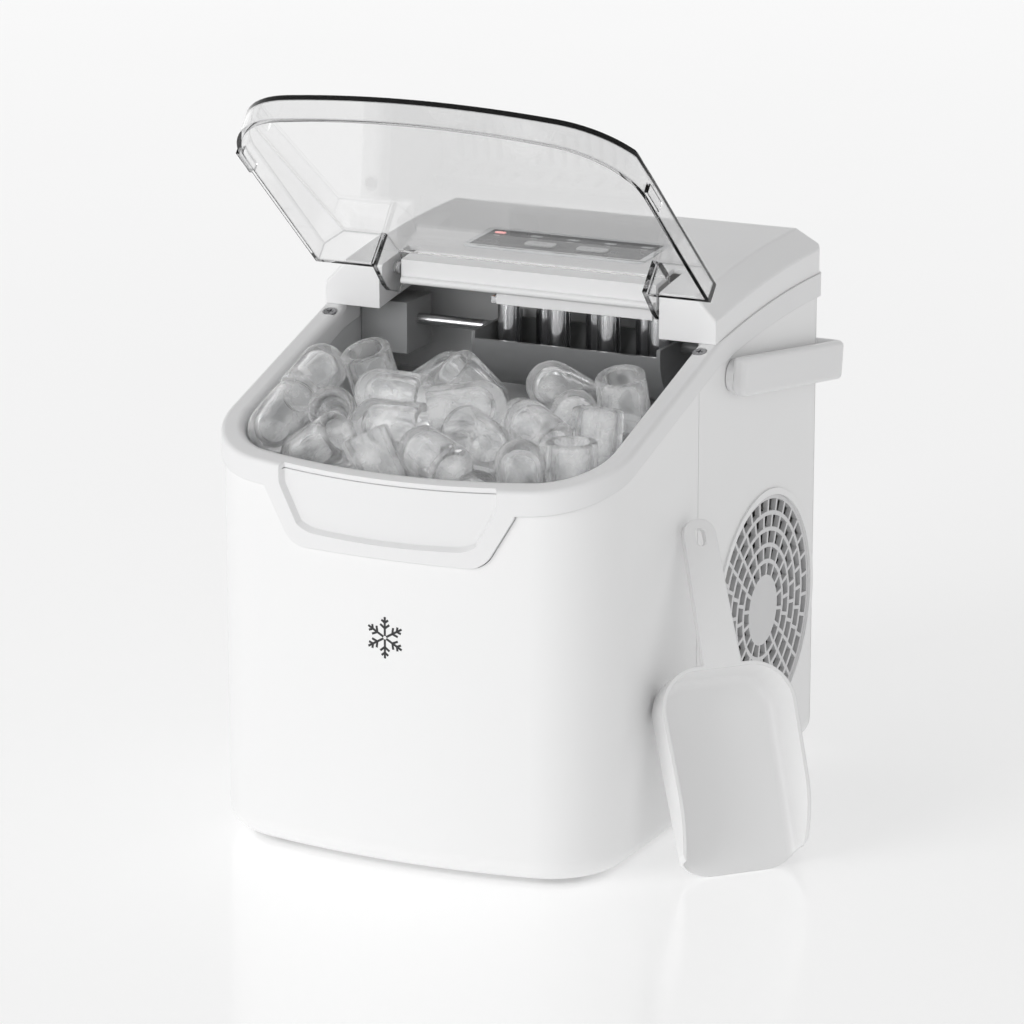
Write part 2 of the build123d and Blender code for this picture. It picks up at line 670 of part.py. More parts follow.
with BuildPart() as handle_pivots:
    for side in (-1, 1):
        add(rod((side * 102.0, HANDLE_Y, HANDLE_Z), (side * 116.0, HANDLE_Y, HANDLE_Z), 3.5))
        add(rod((side * 102.0, HANDLE_Y, HANDLE_Z), (side * 105.9, HANDLE_Y, HANDLE_Z), 7.0))
finish(handle_pivots.part, "handle_pivots")

# ---------------------------------------------------------------- fan side
GRILLE_STEP = (GRILLE_RADIUS - GRILLE_HUB) / GRILLE_RINGS
with BuildPart() as fan_grille:
    with BuildSketch(Plane.YZ.offset(BODY_WIDTH / 2 - 3.0)):
        with Locations((FAN_Y, FAN_Z)):
            Circle(GRILLE_HUB)
            for ring in range(1, GRILLE_RINGS + 1):
                radius = GRILLE_HUB + ring * GRILLE_STEP
                with BuildSketch(mode=Mode.PRIVATE) as band:
                    Circle(radius - 0.1)
                    Circle(radius - 2.3, mode=Mode.SUBTRACT)
                    count = 12 + 4 * ring
                    turn = 180.0 / count * (ring % 2)
                    with PolarLocations(radius - GRILLE_STEP / 2 - 1.0, count, start_angle=turn):
                        Rectangle(GRILLE_STEP + 0.4, 1.9)
                add(band.sketch)
    extrude(amount=2.6)
finish(fan_grille.part, "fan_grille")

def fan_blade(turn):
    """One pitched blade, turned to its place round the hub."""
    span = BLADE_TIP - 10.0
    blade = Box(1.8, 19.0, span).rotate(Axis.Z, 38.0)
    blade = Pos(0, 0, 10.0 + span / 2) * blade
    return Pos(FAN_X, FAN_Y, FAN_Z) * blade.rotate(Axis.X, turn)


BLADES = [fan_blade(360.0 / FAN_BLADES * i) for i in range(FAN_BLADES)]
with BuildPart() as fan_blades:
    add(rod((FAN_X - 8.0, FAN_Y, FAN_Z), (FAN_X + 7.0, FAN_Y, FAN_Z), 13.0))
    add(BLADES)
    add(rod((FAN_X - 12.0, FAN_Y, FAN_Z), (FAN_X + 2.0, FAN_Y, FAN_Z), 2.06), mode=Mode.SUBTRACT)
finish(fan_blades.part, "fan_blades")

with BuildPart() as fan_motor:
    add(rod((62.0, FAN_Y, FAN_Z), (82.0, FAN_Y, FAN_Z), 17.0))
    add(rod((81.0, FAN_Y, FAN_Z), (93.6, FAN_Y, FAN_Z), 2.0))
finish(fan_motor.part, "fan_motor")

with BuildPart() as fan_shroud:
    with BuildSketch(Plane.YZ.offset(76.0)):
        with Locations((FAN_Y, FAN_Z)):
            RectangleRounded(SHROUD_SIZE, SHROUD_SIZE, 6.0)
            Circle(BLADE_TIP + 2.5, mode=Mode.SUBTRACT)
    extrude(amount=28.0)
    with BuildSketch(Plane.YZ.offset(76.0)):
        with Locations((FAN_Y, FAN_Z)):
            Circle(20.0)
            Rectangle(SHROUD_SIZE - 1.0, 6.0)
            Rectangle(6.0, SHROUD_SIZE - 1.0)
            Circle(17.05, mode=Mode.SUBTRACT)
    extrude(amount=3.0)
finish(fan_shroud.part, "fan_shroud")

with BuildPart() as condenser:
    with Locations((46.0, CONDENSER_Y, FAN_Z)):
        with GridLocations(0, 4.0, 1, 22):
            Box(24.0, 0.8, 100.0)
    for row in range(5):
        z = FAN_Z - 40.0 + 20.0 * row
        for x in (40.0, 52.0):
            add(rod((x, CONDENSER_Y - CONDENSER_HALF, z), (x, CONDENSER_Y + CONDENSER_HALF, z), 2.6))
    for end in (-CONDENSER_HALF, CONDENSER_HALF):
        plate_y = CONDENSER_Y + end
        add(box_between((33.0, plate_y - 0.7, FAN_Z - 52.0), (59.0, plate_y + 0.7, FAN_Z + 52.0)))
finish(condenser.part, "condenser")

# ---------------------------------------------------------------- compressor and its pipes
COMPRESSOR = (-44.0, 84.0)
with BuildPart() as compressor:
    with BuildSketch(Plane.XY.offset(20.0)):
        with Locations(COMPRESSOR):
            Circle(44.0)
    extrude(amount=106.0)
    fillet(compressor.faces().sort_by(Axis.Z)[-1].edges(), radius=22.0)
    fillet(compressor.faces().sort_by(Axis.Z)[0].edges(), radius=10.0)
    with BuildSketch(Plane.XY.offset(19.0)):
        with Locations(COMPRESSOR):
            RectangleRounded(92.0, 92.0, 12.0)
            with GridLocations(78.0, 78.0, 2, 2):
                Circle(4.0, mode=Mode.SUBTRACT)
    extrude(amount=3.0)
finish(compressor.part, "compressor")

with BuildPart() as compressor_mounts:
    with BuildSketch(Plane.XY.offset(FLOOR_GAP + 2 * WALL + 0.3)):
        with Locations(COMPRESSOR):
            with GridLocations(78.0, 78.0, 2, 2):
                Circle(7.0)
    extrude(amount=10.6)
finish(compressor_mounts.part, "compressor_mounts")

with BuildPart() as compressor_cap:
    with BuildSketch(Plane.XY.offset(112.0)):
        with Locations((COMPRESSOR[0] - 10.0, COMPRESSOR[1])):
            RectangleRounded(34.0, 26.0, 5.0)
    extrude(amount=26.0)
    add(compressor.part, mode=Mode.SUBTRACT)
finish(compressor_cap.part, "compressor_terminal_cap")

with BuildPart() as discharge_tube:
    add(tube_along([(0.3, 84.0, 100.0), (11.0, 84.0, 100.0), (11.0, 84.0, 168.0), (40.0, 131.5, 168.0),
                    (40.0, 131.5, 132.0), (40.0, 122.8, 132.0)], 2.4, 4.0))
finish(discharge_tube.part, "discharge_tube")

with BuildPart() as filter_drier:
    with BuildSketch(Plane.XY.offset(150.0)):
        with Locations((-10.0, 112.0)):
            Circle(8.0)
    extrude(amount=50.0)
    fillet(filter_drier.edges(), radius=5.0)
finish(filter_drier.part, "filter_drier")

PIPE_Z = TRAY_Z + 21.4  # height of the pipe on the cooling plate
with BuildPart() as suction_tube:
    add(tube_along([(-33.0, 84.0, 126.1), (-33.0, 84.0, PIPE_Z + 0.5), (-33.0, TRAY_Y + 8.0, PIPE_Z + 0.5),
                    (EVAPORATOR_LEFT - 1.4, TRAY_Y + 8.0, PIPE_Z + 0.5)], 3.0, 6.0))
finish(suction_tube.part, "suction_tube")

with BuildPart() as capillary_tube:
    add(tube_along([(-10.0, 112.0, 200.1), (-10.0, 112.0, PIPE_Z - 1.0), (-40.0, 100.0, PIPE_Z - 1.0),
                    (-40.0, TRAY_Y - 8.0, PIPE_Z - 1.0), (EVAPORATOR_LEFT - 0.2, TRAY_Y - 8.0, PIPE_Z)], 1.2, 3.0))
finish(capillary_tube.part, "capillary_tube")

# ---------------------------------------------------------------- ice chamber
with BuildPart() as liner_bay:
    add(box_between((-CHAMBER_HALF - WALL, CHAMBER_REAR + WALL + 0.1, BAY_FLOOR - WALL),
                    (CHAMBER_HALF + WALL, BAY_REAR + WALL, 300.0)))
    add(under_rim(WALL + 0.1), mode=Mode.INTERSECT)

with BuildPart() as chamber_liner:
    add(prism(chamber_outline(WALL), CHAMBER_FLOOR - WALL, 262.0))
    add(box_between((-CHAMBER_HALF - WALL, 12.0, BAY_FLOOR - WALL),
                    (CHAMBER_HALF + WALL, CHAMBER_REAR + WALL + 0.1, 262.0)))
    add(under_rim(BAND_HEIGHT + 0.1), mode=Mode.INTERSECT)
    add(liner_bay.part)
    add(prism(chamber_outline(), CHAMBER_FLOOR, 300.0), mode=Mode.SUBTRACT)
    add(box_between((-CHAMBER_HALF, 10.0, BAY_FLOOR), (CHAMBER_HALF, BAY_REAR, 310.0)), mode=Mode.SUBTRACT)
    for side in (-1, 1):
        low, high = sorted((side * 92.5, side * (CHAMBER_HALF + 1.0)))
        add(box_between((low, -88.0, 160.0), (high, -46.0, 164.0)))
        add(box_between((low, -42.0, 168.0), (high, 16.0, 172.0)))
    with BuildSketch(Plane.XY.offset(CHAMBER_FLOOR - 5.0)):
        with Locations((-60.0, 0.0), (-74.0, -100.0)):
            Circle(4.0)
    extrude(amount=10.0, mode=Mode.SUBTRACT)
finish(chamber_liner.part, "chamber_liner")

with BuildPart() as liner_insulation:
    add(prism(chamber_outline(WALL + 3.5), 82.0, 182.0))
    add(prism(chamber_outline(WALL + 0.1), CHAMBER_FLOOR - WALL - 0.1, 300.0), mode=Mode.SUBTRACT)
    with BuildSketch(Plane.XY.offset(80.0)):
        with Locations((-60.0, 0.0), (-74.0, -100.0)):
            Circle(6.0)
    extrude(amount=20.0, mode=Mode.SUBTRACT)
finish(liner_insulation.part, "liner_insulation")

with BuildPart() as ice_grid:
    with BuildSketch(Plane.XY.offset(172.2)):
        with Locations((0, -12.0)):
            Rectangle(192.0, 52.0)
            with GridLocations(7.5, 0, 24, 1):
                SlotOverall(44.0, 3.6, rotation=90, mode=Mode.SUBTRACT)
    extrude(amount=2.4)
finish(ice_grid.part, "ice_grid")

with BuildPart() as ice_pusher:
    with BuildSketch(Plane.XZ.offset(-11.0)):
        with Locations((0, 187.0)):
            Rectangle(184.0, 20.0)
            with GridLocations(12.0, 0, 15, 1):
                SlotOverall(13.0, 5.0, rotation=90, mode=Mode.SUBTRACT)
    extrude(amount=-3.0)
    for side in (-1, 1):
        low, high = sorted((side * 88.0, side * 92.0))
        add(box_between((low, 11.5, 190.0), (high, 20.0, 196.0)))
finish(ice_pusher.part, "ice_pusher")

PLATE_Z = TRAY_Z + 16.2
PLATE_HALF = 15.0
FRONT_FINGERS = [EVAPORATOR_LEFT + 7.0 + FINGER_PITCH * i for i in range(4)]
REAR_FINGERS = [x + FINGER_PITCH / 2 for x in FRONT_FINGERS[:-1]]
FINGER_ROWS = ((TRAY_Y - ROW_OFFSET, FRONT_FINGERS), (TRAY_Y + ROW_OFFSET, REAR_FINGERS))
with BuildPart() as evaporator_plate:
    add(box_between((EVAPORATOR_LEFT, TRAY_Y - PLATE_HALF, PLATE_Z),
                    (EVAPORATOR_RIGHT, TRAY_Y + PLATE_HALF, PLATE_Z + 3.4)))
    tube_end = EVAPORATOR_RIGHT - 4.0
    add(tube_along([(EVAPORATOR_LEFT, TRAY_Y - 8.0, PIPE_Z - 0.2), (tube_end, TRAY_Y - 8.0, PIPE_Z - 0.2),
                    (tube_end, TRAY_Y + 8.0, PIPE_Z - 0.2), (EVAPORATOR_LEFT, TRAY_Y + 8.0, PIPE_Z - 0.2)],
                   2.6, 5.0))
    # tabs that hang the plate on the guard
    for x in (-10.0, 50.0):
        add(box_between((x, COVER_FRONT_Y + WALL, PLATE_Z + 1.4), (x + 10.0, TRAY_Y - PLATE_HALF + 1.0,
                                                                  PLATE_Z + 3.2)))
finish(evaporator_plate.part, "evaporator_plate")

with BuildPart() as evaporator_fingers:
    for row_y, row_xs in FINGER_ROWS:
        for x in row_xs:
            with BuildPart(mode=Mode.PRIVATE) as finger:
                add(rod((x, row_y, PLATE_Z - 0.1), (x, row_y, TRAY_Z - 19.0), FINGER_RADIUS))
                fillet(finger.faces().sort_by(Axis.Z)[0].edges(), radius=FINGER_RADIUS - 0.2)
            add(finger.part)
finish(evaporator_fingers.part, "evaporator_fingers")

with BuildPart() as water_tray:
    tray_span = TRAY_RIGHT - TRAY_LEFT
    with BuildSketch(Plane.YZ.offset(TRAY_LEFT)):
        with Locations((TRAY_Y, TRAY_Z)):
            Circle(TRAY_RADIUS + 2.0)
            Circle(TRAY_RADIUS, mode=Mode.SUBTRACT)
        with Locations((TRAY_Y, TRAY_Z + 20.0)):
            Rectangle(80.0, 40.0, mode=Mode.SUBTRACT)
    extrude(amount=tray_span)
    for x in (TRAY_LEFT, TRAY_RIGHT - 2.0):
        with BuildSketch(Plane.YZ.offset(x)):
            with Locations((TRAY_Y, TRAY_Z)):
                Circle(TRAY_RADIUS + 2.0)
            with Locations((TRAY_Y, TRAY_Z + 24.0)):
                Rectangle(80.0, 40.0, mode=Mode.SUBTRACT)
        extrude(amount=2.0)
    add(rod((TRAY_LEFT - 6.0, TRAY_Y, TRAY_Z), (TRAY_LEFT + 0.5, TRAY_Y, TRAY_Z), 3.0))
    add(rod((TRAY_RIGHT - 0.5, TRAY_Y, TRAY_Z), (98.2, TRAY_Y, TRAY_Z), 3.0))
finish(water_tray.part, "water_tray")

with BuildPart() as tray_shaft:
    add(rod((-88.0, TRAY_Y, TRAY_Z), (TRAY_LEFT - 6.0, TRAY_Y, TRAY_Z), 3.0))
finish(tray_shaft.part, "tray_shaft")

with BuildPart() as tray_bearing:
    add(box_between((94.5, TRAY_Y - 8.0, TRAY_Z - 12.0), (98.8, TRAY_Y + 8.0, TRAY_Z + 11.5)))
    add(rod((90.0, TRAY_Y, TRAY_Z), (99.5, TRAY_Y, TRAY_Z), 3.06), mode=Mode.SUBTRACT)
finish(tray_bearing.part, "tray_bearing")

with BuildPart() as tray_motor:
    add(box_between((-98.6, TRAY_Y - 14.0, TRAY_Z - 16.0), (-72.0, TRAY_Y + 14.0, TRAY_Z + 11.0)))
    add(rod((-99.5, TRAY_Y, TRAY_Z), (-70.0, TRAY_Y, TRAY_Z), 3.06), mode=Mode.SUBTRACT)
finish(tray_motor.part, "tray_motor")

with BuildPart() as ice_level_sensors:
    for side in (-1, 1):
        add(rod((side * 94.5, -38.0, 192.0), (side * 98.9, -38.0, 192.0), 4.0))
finish(ice_level_sensors.part, "ice_level_sensors")

with BuildPart() as ice_basket:
    mid_y = (BASKET_FRONT + BASKET_REAR) / 2
    depth = BASKET_REAR - BASKET_FRONT
    with BuildSketch(Plane.XY.offset(BASKET_FLOOR)):
        with Locations((0, mid_y)):
            RectangleRounded(2 * BASKET_HALF - 4.0, depth, 30.0)
    extrude(amount=BASKET_TOP - BASKET_FLOOR)
    with BuildSketch(Plane.XY.offset(BASKET_FLOOR + 2.0)):
        with Locations((0, mid_y)):
            RectangleRounded(2 * BASKET_HALF - 8.0, depth - 4.0, 28.0)
    extrude(amount=BASKET_TOP, mode=Mode.SUBTRACT)
    for side in (-1, 1):
        low, high = sorted((side * (BASKET_HALF - 4.0), side * 97.0))
        add(box_between((low, -88.0, BASKET_TOP - 7.8), (high, -46.0, BASKET_TOP - 5.8)))
    with BuildSketch(Plane.XY.offset(BASKET_FLOOR - 1.0)):
        with Locations((0, mid_y)):
            with GridLocations(15.0, 34.0, 9, 2):
                SlotOverall(26.0, 5.0, rotation=90)
    extrude(amount=6.0, mode=Mode.SUBTRACT)
finish(ice_basket.part, "ice_basket")

# ---------------------------------------------------------------- water circuit
with BuildPart() as water_pump:
    add(box_between((-84.0, -16.0, 9.0), (-44.0, 16.0, 44.0)))
    add(rod((-64.0, 0.0, 43.0), (-64.0, 0.0, 58.0), 14.0))
    add(rod((-60.0, 0.0, 57.0), (-60.0, 0.0, 64.0), 4.0))
finish(water_pump.part, "water_pump")

with BuildPart() as pump_inlet_hose:
    add(rod((-60.0, 0.0, 64.2), (-60.0, 0.0, CHAMBER_FLOOR - 0.4), 3.6))
finish(pump_inlet_hose.part, "pump_inlet_hose")

with BuildPart() as drain_hose:
    add(tube_along([(-74.0, -100.0, CHAMBER_FLOOR - 0.4), (-74.0, -100.0, 66.0), (-95.0, -60.0, 30.0),
                    (-95.0, 120.0, 30.0), (DRAIN[0], 120.0, DRAIN[1]), (DRAIN[0], 131.0, DRAIN[1])], 3.6, 5.0))
finish(drain_hose.part, "drain_hose")

with BuildPart() as drain_spout:
    add(rod((DRAIN[0], 131.2, DRAIN[1]), (DRAIN[0], 147.0, DRAIN[1]), 8.8))
    add(rod((DRAIN[0], 135.0, DRAIN[1]), (DRAIN[0], 148.0, DRAIN[1]), 5.06), mode=Mode.SUBTRACT)
finish(drain_spout.part, "drain_spout")

with BuildPart() as drain_plug:
    add(rod((DRAIN[0], 136.5, DRAIN[1]), (DRAIN[0], 147.4, DRAIN[1]), 5.0))
    add(rod((DRAIN[0], 147.3, DRAIN[1]), (DRAIN[0], 151.0, DRAIN[1]), 10.0))
    fillet(drain_plug.faces().sort_by(Axis.Y)[-1].edges(), radius=1.5)
finish(drain_plug.part, "drain_plug")

with BuildPart() as power_inlet:
    add(rod((INLET[0], 136.0, INLET[1]), (INLET[0], 150.0, INLET[1]), 6.9))
    add(rod((INLET[0], BODY_REAR, INLET[1]), (INLET[0], 147.0, INLET[1]), 10.0))
    add(rod((INLET[0], 130.0, INLET[1]), (INLET[0], 152.0, INLET[1]), 3.4), mode=Mode.SUBTRACT)
finish(power_inlet.part, "power_inlet")

CASE_SCREWS = ((-90.0, 232.0), (90.0, 232.0), (-90.0, 60.0), (90.0, 60.0))
with BuildPart() as rear_screws:
    for x, z in CASE_SCREWS:
        add(rod((x, BODY_REAR, z), (x, BODY_REAR + 1.4, z), 3.4))
        add(box_between((x - 2.2, BODY_REAR + 0.8, z - 0.4), (x + 2.2, BODY_REAR + 2.0, z + 0.4)),
            mode=Mode.SUBTRACT)
finish(rear_screws.part, "rear_screws")


# ---------------------------------------------------------------- scoop
def scoop_plane():
    """Plane of the scoop's flat bottom: origin at the middle of its mouth, local +Y up its length."""
    facing = radians(SCOOP_FACING)
    lean = radians(SCOOP_LEAN)
    outward = (sin(facing) * cos(lean), -cos(facing) * cos(lean), sin(lean))
    return Plane(origin=(SCOOP_FOOT[0], SCOOP_FOOT[1], 0.0), x_dir=(cos(facing), sin(facing), 0.0),
                 z_dir=outward)


def scoop_block(inset, low, high, mouth):
    """A bowl widening from its flat bottom, with round shoulders and a plain end at its mouth."""
    half = SCOOP_HALF - inset
    top = SCOOP_BOWL - inset
    with BuildPart() as block:
        with BuildSketch(Plane.XY.offset(low)) as face:
            with BuildLine():
                Polyline((-half + 2.0, mouth), (-half, top), (half, top), (half - 2.0, mouth), close=True)
            make_face()
            fillet(face.vertices().sort_by(Axis.Y)[-2:], radius=20.0 - inset)
        extrude(amount=high - low, taper=-5.0)
        rounded = block.faces().sort_by(Axis.Z)[0].edges().sort_by(Axis.Y)[1:]
        fillet(rounded, radius=7.0 - inset)
    return block.part


with BuildPart() as scoop:
    add(scoop_block(0.0, 0.0, SCOOP_DEPTH, 0.0))
    add(scoop_block(SCOOP_WALL, SCOOP_WALL, SCOOP_DEPTH + 6.0, -8.0), mode=Mode.SUBTRACT)
    # the side walls fall to the bottom at the mouth
    with BuildSketch(Plane.YZ):
        with BuildLine():
            Polyline((-20.0, 2.4), (0.0, 2.4))
            ThreePointArc((0.0, 2.4), (SCOOP_FALL * 0.36, SCOOP_DEPTH * 0.66), (SCOOP_FALL, SCOOP_DEPTH))
            Polyline((SCOOP_FALL, SCOOP_DEPTH), (SCOOP_FALL, 60.0), (-20.0, 60.0), (-20.0, 2.4))
        make_face()
    extrude(amount=80.0, both=True, mode=Mode.SUBTRACT)
    # round corners at the mouth
    with BuildSketch():
        with Locations((0, SCOOP_BOWL * 2)):
            RectangleRounded(2 * SCOOP_HALF + 4.4, SCOOP_BOWL * 4, SCOOP_MOUTH_ROUND)
    extrude(amount=SCOOP_DEPTH, mode=Mode.INTERSECT)
    # straight handle with a hanging hole
    with BuildSketch(Plane.XY.offset(SCOOP_DEPTH - 4.0)) as grip:
        with BuildLine():
            Polyline((-10.0, SCOOP_BOWL), (-8.5, SCOOP_BOWL + SCOOP_HANDLE),
                     (8.5, SCOOP_BOWL + SCOOP_HANDLE), (10.0, SCOOP_BOWL), close=True)
        make_face()
        fillet(grip.vertices().sort_by(Axis.Y)[-2:], radius=8.0)
        with Locations((0, SCOOP_BOWL + SCOOP_HANDLE - 9.0)):
            SlotOverall(9.0, 5.5, rotation=90, mode=Mode.SUBTRACT)
    extrude(amount=4.0)
finish(scoop_plane().location * scoop.part, "scoop")
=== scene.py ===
"""Looks of the countertop ice maker: materials for every CAD node, the heap of ice, and a pale studio."""

import json
from math import cos, pi, radians, sin, tan

import bmesh
import bpy
import numpy as np
from mathutils import Matrix, Vector


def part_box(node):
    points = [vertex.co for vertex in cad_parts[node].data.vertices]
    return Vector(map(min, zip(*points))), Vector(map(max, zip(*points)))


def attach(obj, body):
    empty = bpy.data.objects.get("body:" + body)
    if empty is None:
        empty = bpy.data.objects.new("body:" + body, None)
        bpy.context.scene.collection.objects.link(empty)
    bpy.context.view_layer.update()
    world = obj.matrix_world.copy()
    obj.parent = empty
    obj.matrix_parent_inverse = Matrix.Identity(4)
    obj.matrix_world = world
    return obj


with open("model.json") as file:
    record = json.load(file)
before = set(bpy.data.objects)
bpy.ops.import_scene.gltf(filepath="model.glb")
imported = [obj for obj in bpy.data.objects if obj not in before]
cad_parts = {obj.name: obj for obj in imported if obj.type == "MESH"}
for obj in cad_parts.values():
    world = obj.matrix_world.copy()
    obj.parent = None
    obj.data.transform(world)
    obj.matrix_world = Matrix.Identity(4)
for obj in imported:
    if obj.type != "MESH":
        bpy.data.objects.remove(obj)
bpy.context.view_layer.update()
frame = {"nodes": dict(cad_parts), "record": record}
MM = 0.001

# the camera stands where the object is seen from slightly above and from its right front corner
CAMERA_AZIMUTH = 25.94
CAMERA_ELEVATION = 15.2
CAMERA_DISTANCE = 2.517
CAMERA_TARGET = (-0.0174, 0.0336, 0.139)
CAMERA_LENS = 170.7

# the inclined rim of the chamber
RIM_SLOPE = 17.8
RIM_REAR_Y = 4.0 * MM
RIM_REAR_Z = 247.0 * MM
FASCIA_TILT = 2.9

# ice bullets
ICE_COUNT = 74
ICE_RADIUS = 12.6 * MM
ICE_REACH = 7.6 * MM  # from a bullet's middle to the centre of its dome
ICE_BORE = 8.2 * MM
ICE_SEGMENTS = 32
ICE_SEED = 11
ICE_WOBBLE = (0.016, 0.010, 0.010)  # share of the radius: two-sided, three-sided, along the length

# the room that the heap settles in
ICE_STEPS = 700
ICE_TIES = 4  # corrections of overlaps in each step
ICE_FALL_START = 1.1 * MM
ICE_FALL_END = 0.05 * MM
ICE_SHAKE = 0.35  # mm
ICE_BACK_REACH = 28.0 * MM  # how far the top of the heap reaches back past the basket
ICE_BACK_SLOPE = 1.3
WALL_ROOM = 2.5 * MM
BASKET_HALF = 0.0860
CHAMBER_HALF = 94.5 * MM
CHAMBER_CORNER = 15.0 * MM
LID_FRONT_ROOM = 13.0 * MM  # height under the closed lid at its front
LID_FRONT_Y = -0.145
LID_RISE = 0.043  # extra height for each metre towards the back
LID_GAP = 6.0 * MM

# printed and lit details
FRONT_BOW = 15.8 * MM
MARK_HEIGHT = 121.0 * MM
MARK_ARM = 10.5 * MM
MARK_STROKE = 0.55 * MM
FASCIA_BORDER = 3.2 * MM
FASCIA_SURFACE = 0.65 * MM  # above the middle of the control panel's box
LAMP_ROW_Y = 9.0 * MM
BUTTON_ROW_Y = -5.5 * MM

# studio
FLOOR_GLOW = 0.28
FRONT_LIGHT_POSITION = (-1.4, -2.8, 1.1)
FRONT_LIGHT_TARGET = (0.0, 0.0, 0.12)
FRONT_LIGHT_SIZE = (2.2, 1.8)
FRONT_LIGHT_POWER = 34.0


# ---------------------------------------------------------------- material building blocks
def new_material(name):
    """A material with a Principled shader, its node tree and its object coordinates."""
    material = bpy.data.materials.new(name)
    material.use_nodes = True
    tree = material.node_tree
    shader = tree.nodes["Principled BSDF"]
    place = tree.nodes.new("ShaderNodeTexCoord").outputs["Object"]
    return material, tree, shader, place


def stretched(tree, place, scale):
    """Coordinates stretched by a scale for each axis."""
    mapping = tree.nodes.new("ShaderNodeMapping")
    mapping.inputs["Scale"].default_value = scale
    tree.links.new(place, mapping.inputs["Vector"])
    return mapping.outputs["Vector"]


def noise(tree, place, scale, detail=3.0, roughness=0.5):
    """Fractal noise between 0 and 1."""
    node = tree.nodes.new("ShaderNodeTexNoise")
    node.inputs["Scale"].default_value = scale
    node.inputs["Detail"].default_value = detail
    node.inputs["Roughness"].default_value = roughness
    tree.links.new(place, node.inputs["Vector"])
    return node.outputs["Fac"]


def spread(tree, value, low, high, start=0.3, end=0.7):
    """A value remapped to a range."""
    node = tree.nodes.new("ShaderNodeMapRange")
    node.inputs["From Min"].default_value = start
    node.inputs["From Max"].default_value = end
    node.inputs["To Min"].default_value = low
    node.inputs["To Max"].default_value = high
    tree.links.new(value, node.inputs["Value"])
    return node.outputs["Result"]


def mixed(tree, factor, first, second):
    """Two colours mixed by a factor."""
    node = tree.nodes.new("ShaderNodeMix")
    node.data_type = "RGBA"
    tree.links.new(factor, node.inputs["Factor"])
    for socket, colour in ((node.inputs["A"], first), (node.inputs["B"], second)):
        if isinstance(colour, tuple):
            socket.default_value = (*colour, 1.0)
        else:
            tree.links.new(colour, socket)
    return node.outputs["Result"]


def bumped(tree, shader, height, strength, distance, base=None):
    """Bump from a height value into a shader's normal."""
    node = tree.nodes.new("ShaderNodeBump")
    node.inputs["Strength"].default_value = strength
    node.inputs["Distance"].default_value = distance
    tree.links.new(height, node.inputs["Height"])
    if base is not None:
        tree.links.new(base, node.inputs["Normal"])
    tree.links.new(node.outputs["Normal"], shader.inputs["Normal"])


def painted_edge_mask(tree, radius):
    """A mask that is 1 along outer edges, from how far a softened normal leaves the true one; it places
    painted highlights on plastic edges and painted dark reflections on the lid's edges.
    """
    bevel = tree.nodes.new("ShaderNodeBevel")
    bevel.samples = 4
    bevel.inputs["Radius"].default_value = radius
    geometry = tree.nodes.new("ShaderNodeNewGeometry")
    dot = tree.nodes.new("ShaderNodeVectorMath")
    dot.operation = "DOT_PRODUCT"
    tree.links.new(bevel.outputs["Normal"], dot.inputs[0])
    tree.links.new(geometry.outputs["Normal"], dot.inputs[1])
    return spread(tree, dot.outputs["Value"], 1.0, 0.0, 0.86, 0.995), bevel.outputs["Normal"]


def shade(colour, factor):
    """A colour made lighter or darker."""
    return tuple(min(1.0, channel * factor) for channel in colour)


def moulded_plastic(name, colour, roughness, grain=0.12, mottle=0.03, specular=0.45, edges=True):
    """Moulded plastic: a fine spark-eroded grain, faint flow marks, and a painted highlight that makes
    the edges slightly lighter.
    """
    material, tree, shader, place = new_material(name)
    flow = noise(tree, stretched(tree, place, (1.0, 1.0, 0.35)), 14.0, 4.0)
    body = mixed(tree, spread(tree, flow, 0.0, 1.0),
                 shade(colour, 1.0 - mottle), shade(colour, 1.0 + mottle))
    texture = noise(tree, place, 1500.0, 2.0, 0.6)
    rough = spread(tree, noise(tree, place, 60.0, 5.0), roughness * 0.94, roughness * 1.06)
    base = None
    if edges:
        # painted highlight: the outer edges are painted 5% lighter than the plastic, and the bevel normal
        # also rounds their shading
        painted_edge_highlight, base = painted_edge_mask(tree, 0.5 * MM)
        body = mixed(tree, painted_edge_highlight, body, shade(colour, 1.05))
    tree.links.new(body, shader.inputs["Base Color"])
    tree.links.new(rough, shader.inputs["Roughness"])
    shader.inputs["Specular IOR Level"].default_value = specular
    bumped(tree, shader, texture, grain, 0.05 * MM, base)
    return material


def metal(name, colour, roughness, brush=(1.0, 1.0, 1.0), brush_scale=300.0, tarnish=0.12):
    """Bare metal with drawn or brushed lines and a little tarnish."""
    material, tree, shader, place = new_material(name)
    lines = noise(tree, stretched(tree, place, brush), brush_scale, 3.0)
    stain = noise(tree, place, 40.0, 5.0)
    tone = mixed(tree, spread(tree, stain, 0.0, 1.0), shade(colour, 1.0 - tarnish), colour)
    tree.links.new(tone, shader.inputs["Base Color"])
    tree.links.new(spread(tree, lines, roughness * 0.7, roughness * 1.3), shader.inputs["Roughness"])
    shader.inputs["Metallic"].default_value = 1.0
    bumped(tree, shader, lines, 0.15, 0.05 * MM)
    return material


def rubber(name, colour, roughness=0.6):
    """Rubber or silicone with a dusty bloom."""
    material, tree, shader, place = new_material(name)
    dust = spread(tree, noise(tree, place, 90.0, 6.0), 0.0, 0.35, 0.45, 0.8)
    tree.links.new(mixed(tree, dust, colour, shade(colour, 1.6)), shader.inputs["Base Color"])
    tree.links.new(spread(tree, noise(tree, place, 200.0), roughness - 0.08, roughness + 0.1),
                   shader.inputs["Roughness"])
    bumped(tree, shader, noise(tree, place, 1200.0, 2.0), 0.2, 0.06 * MM)
    return material


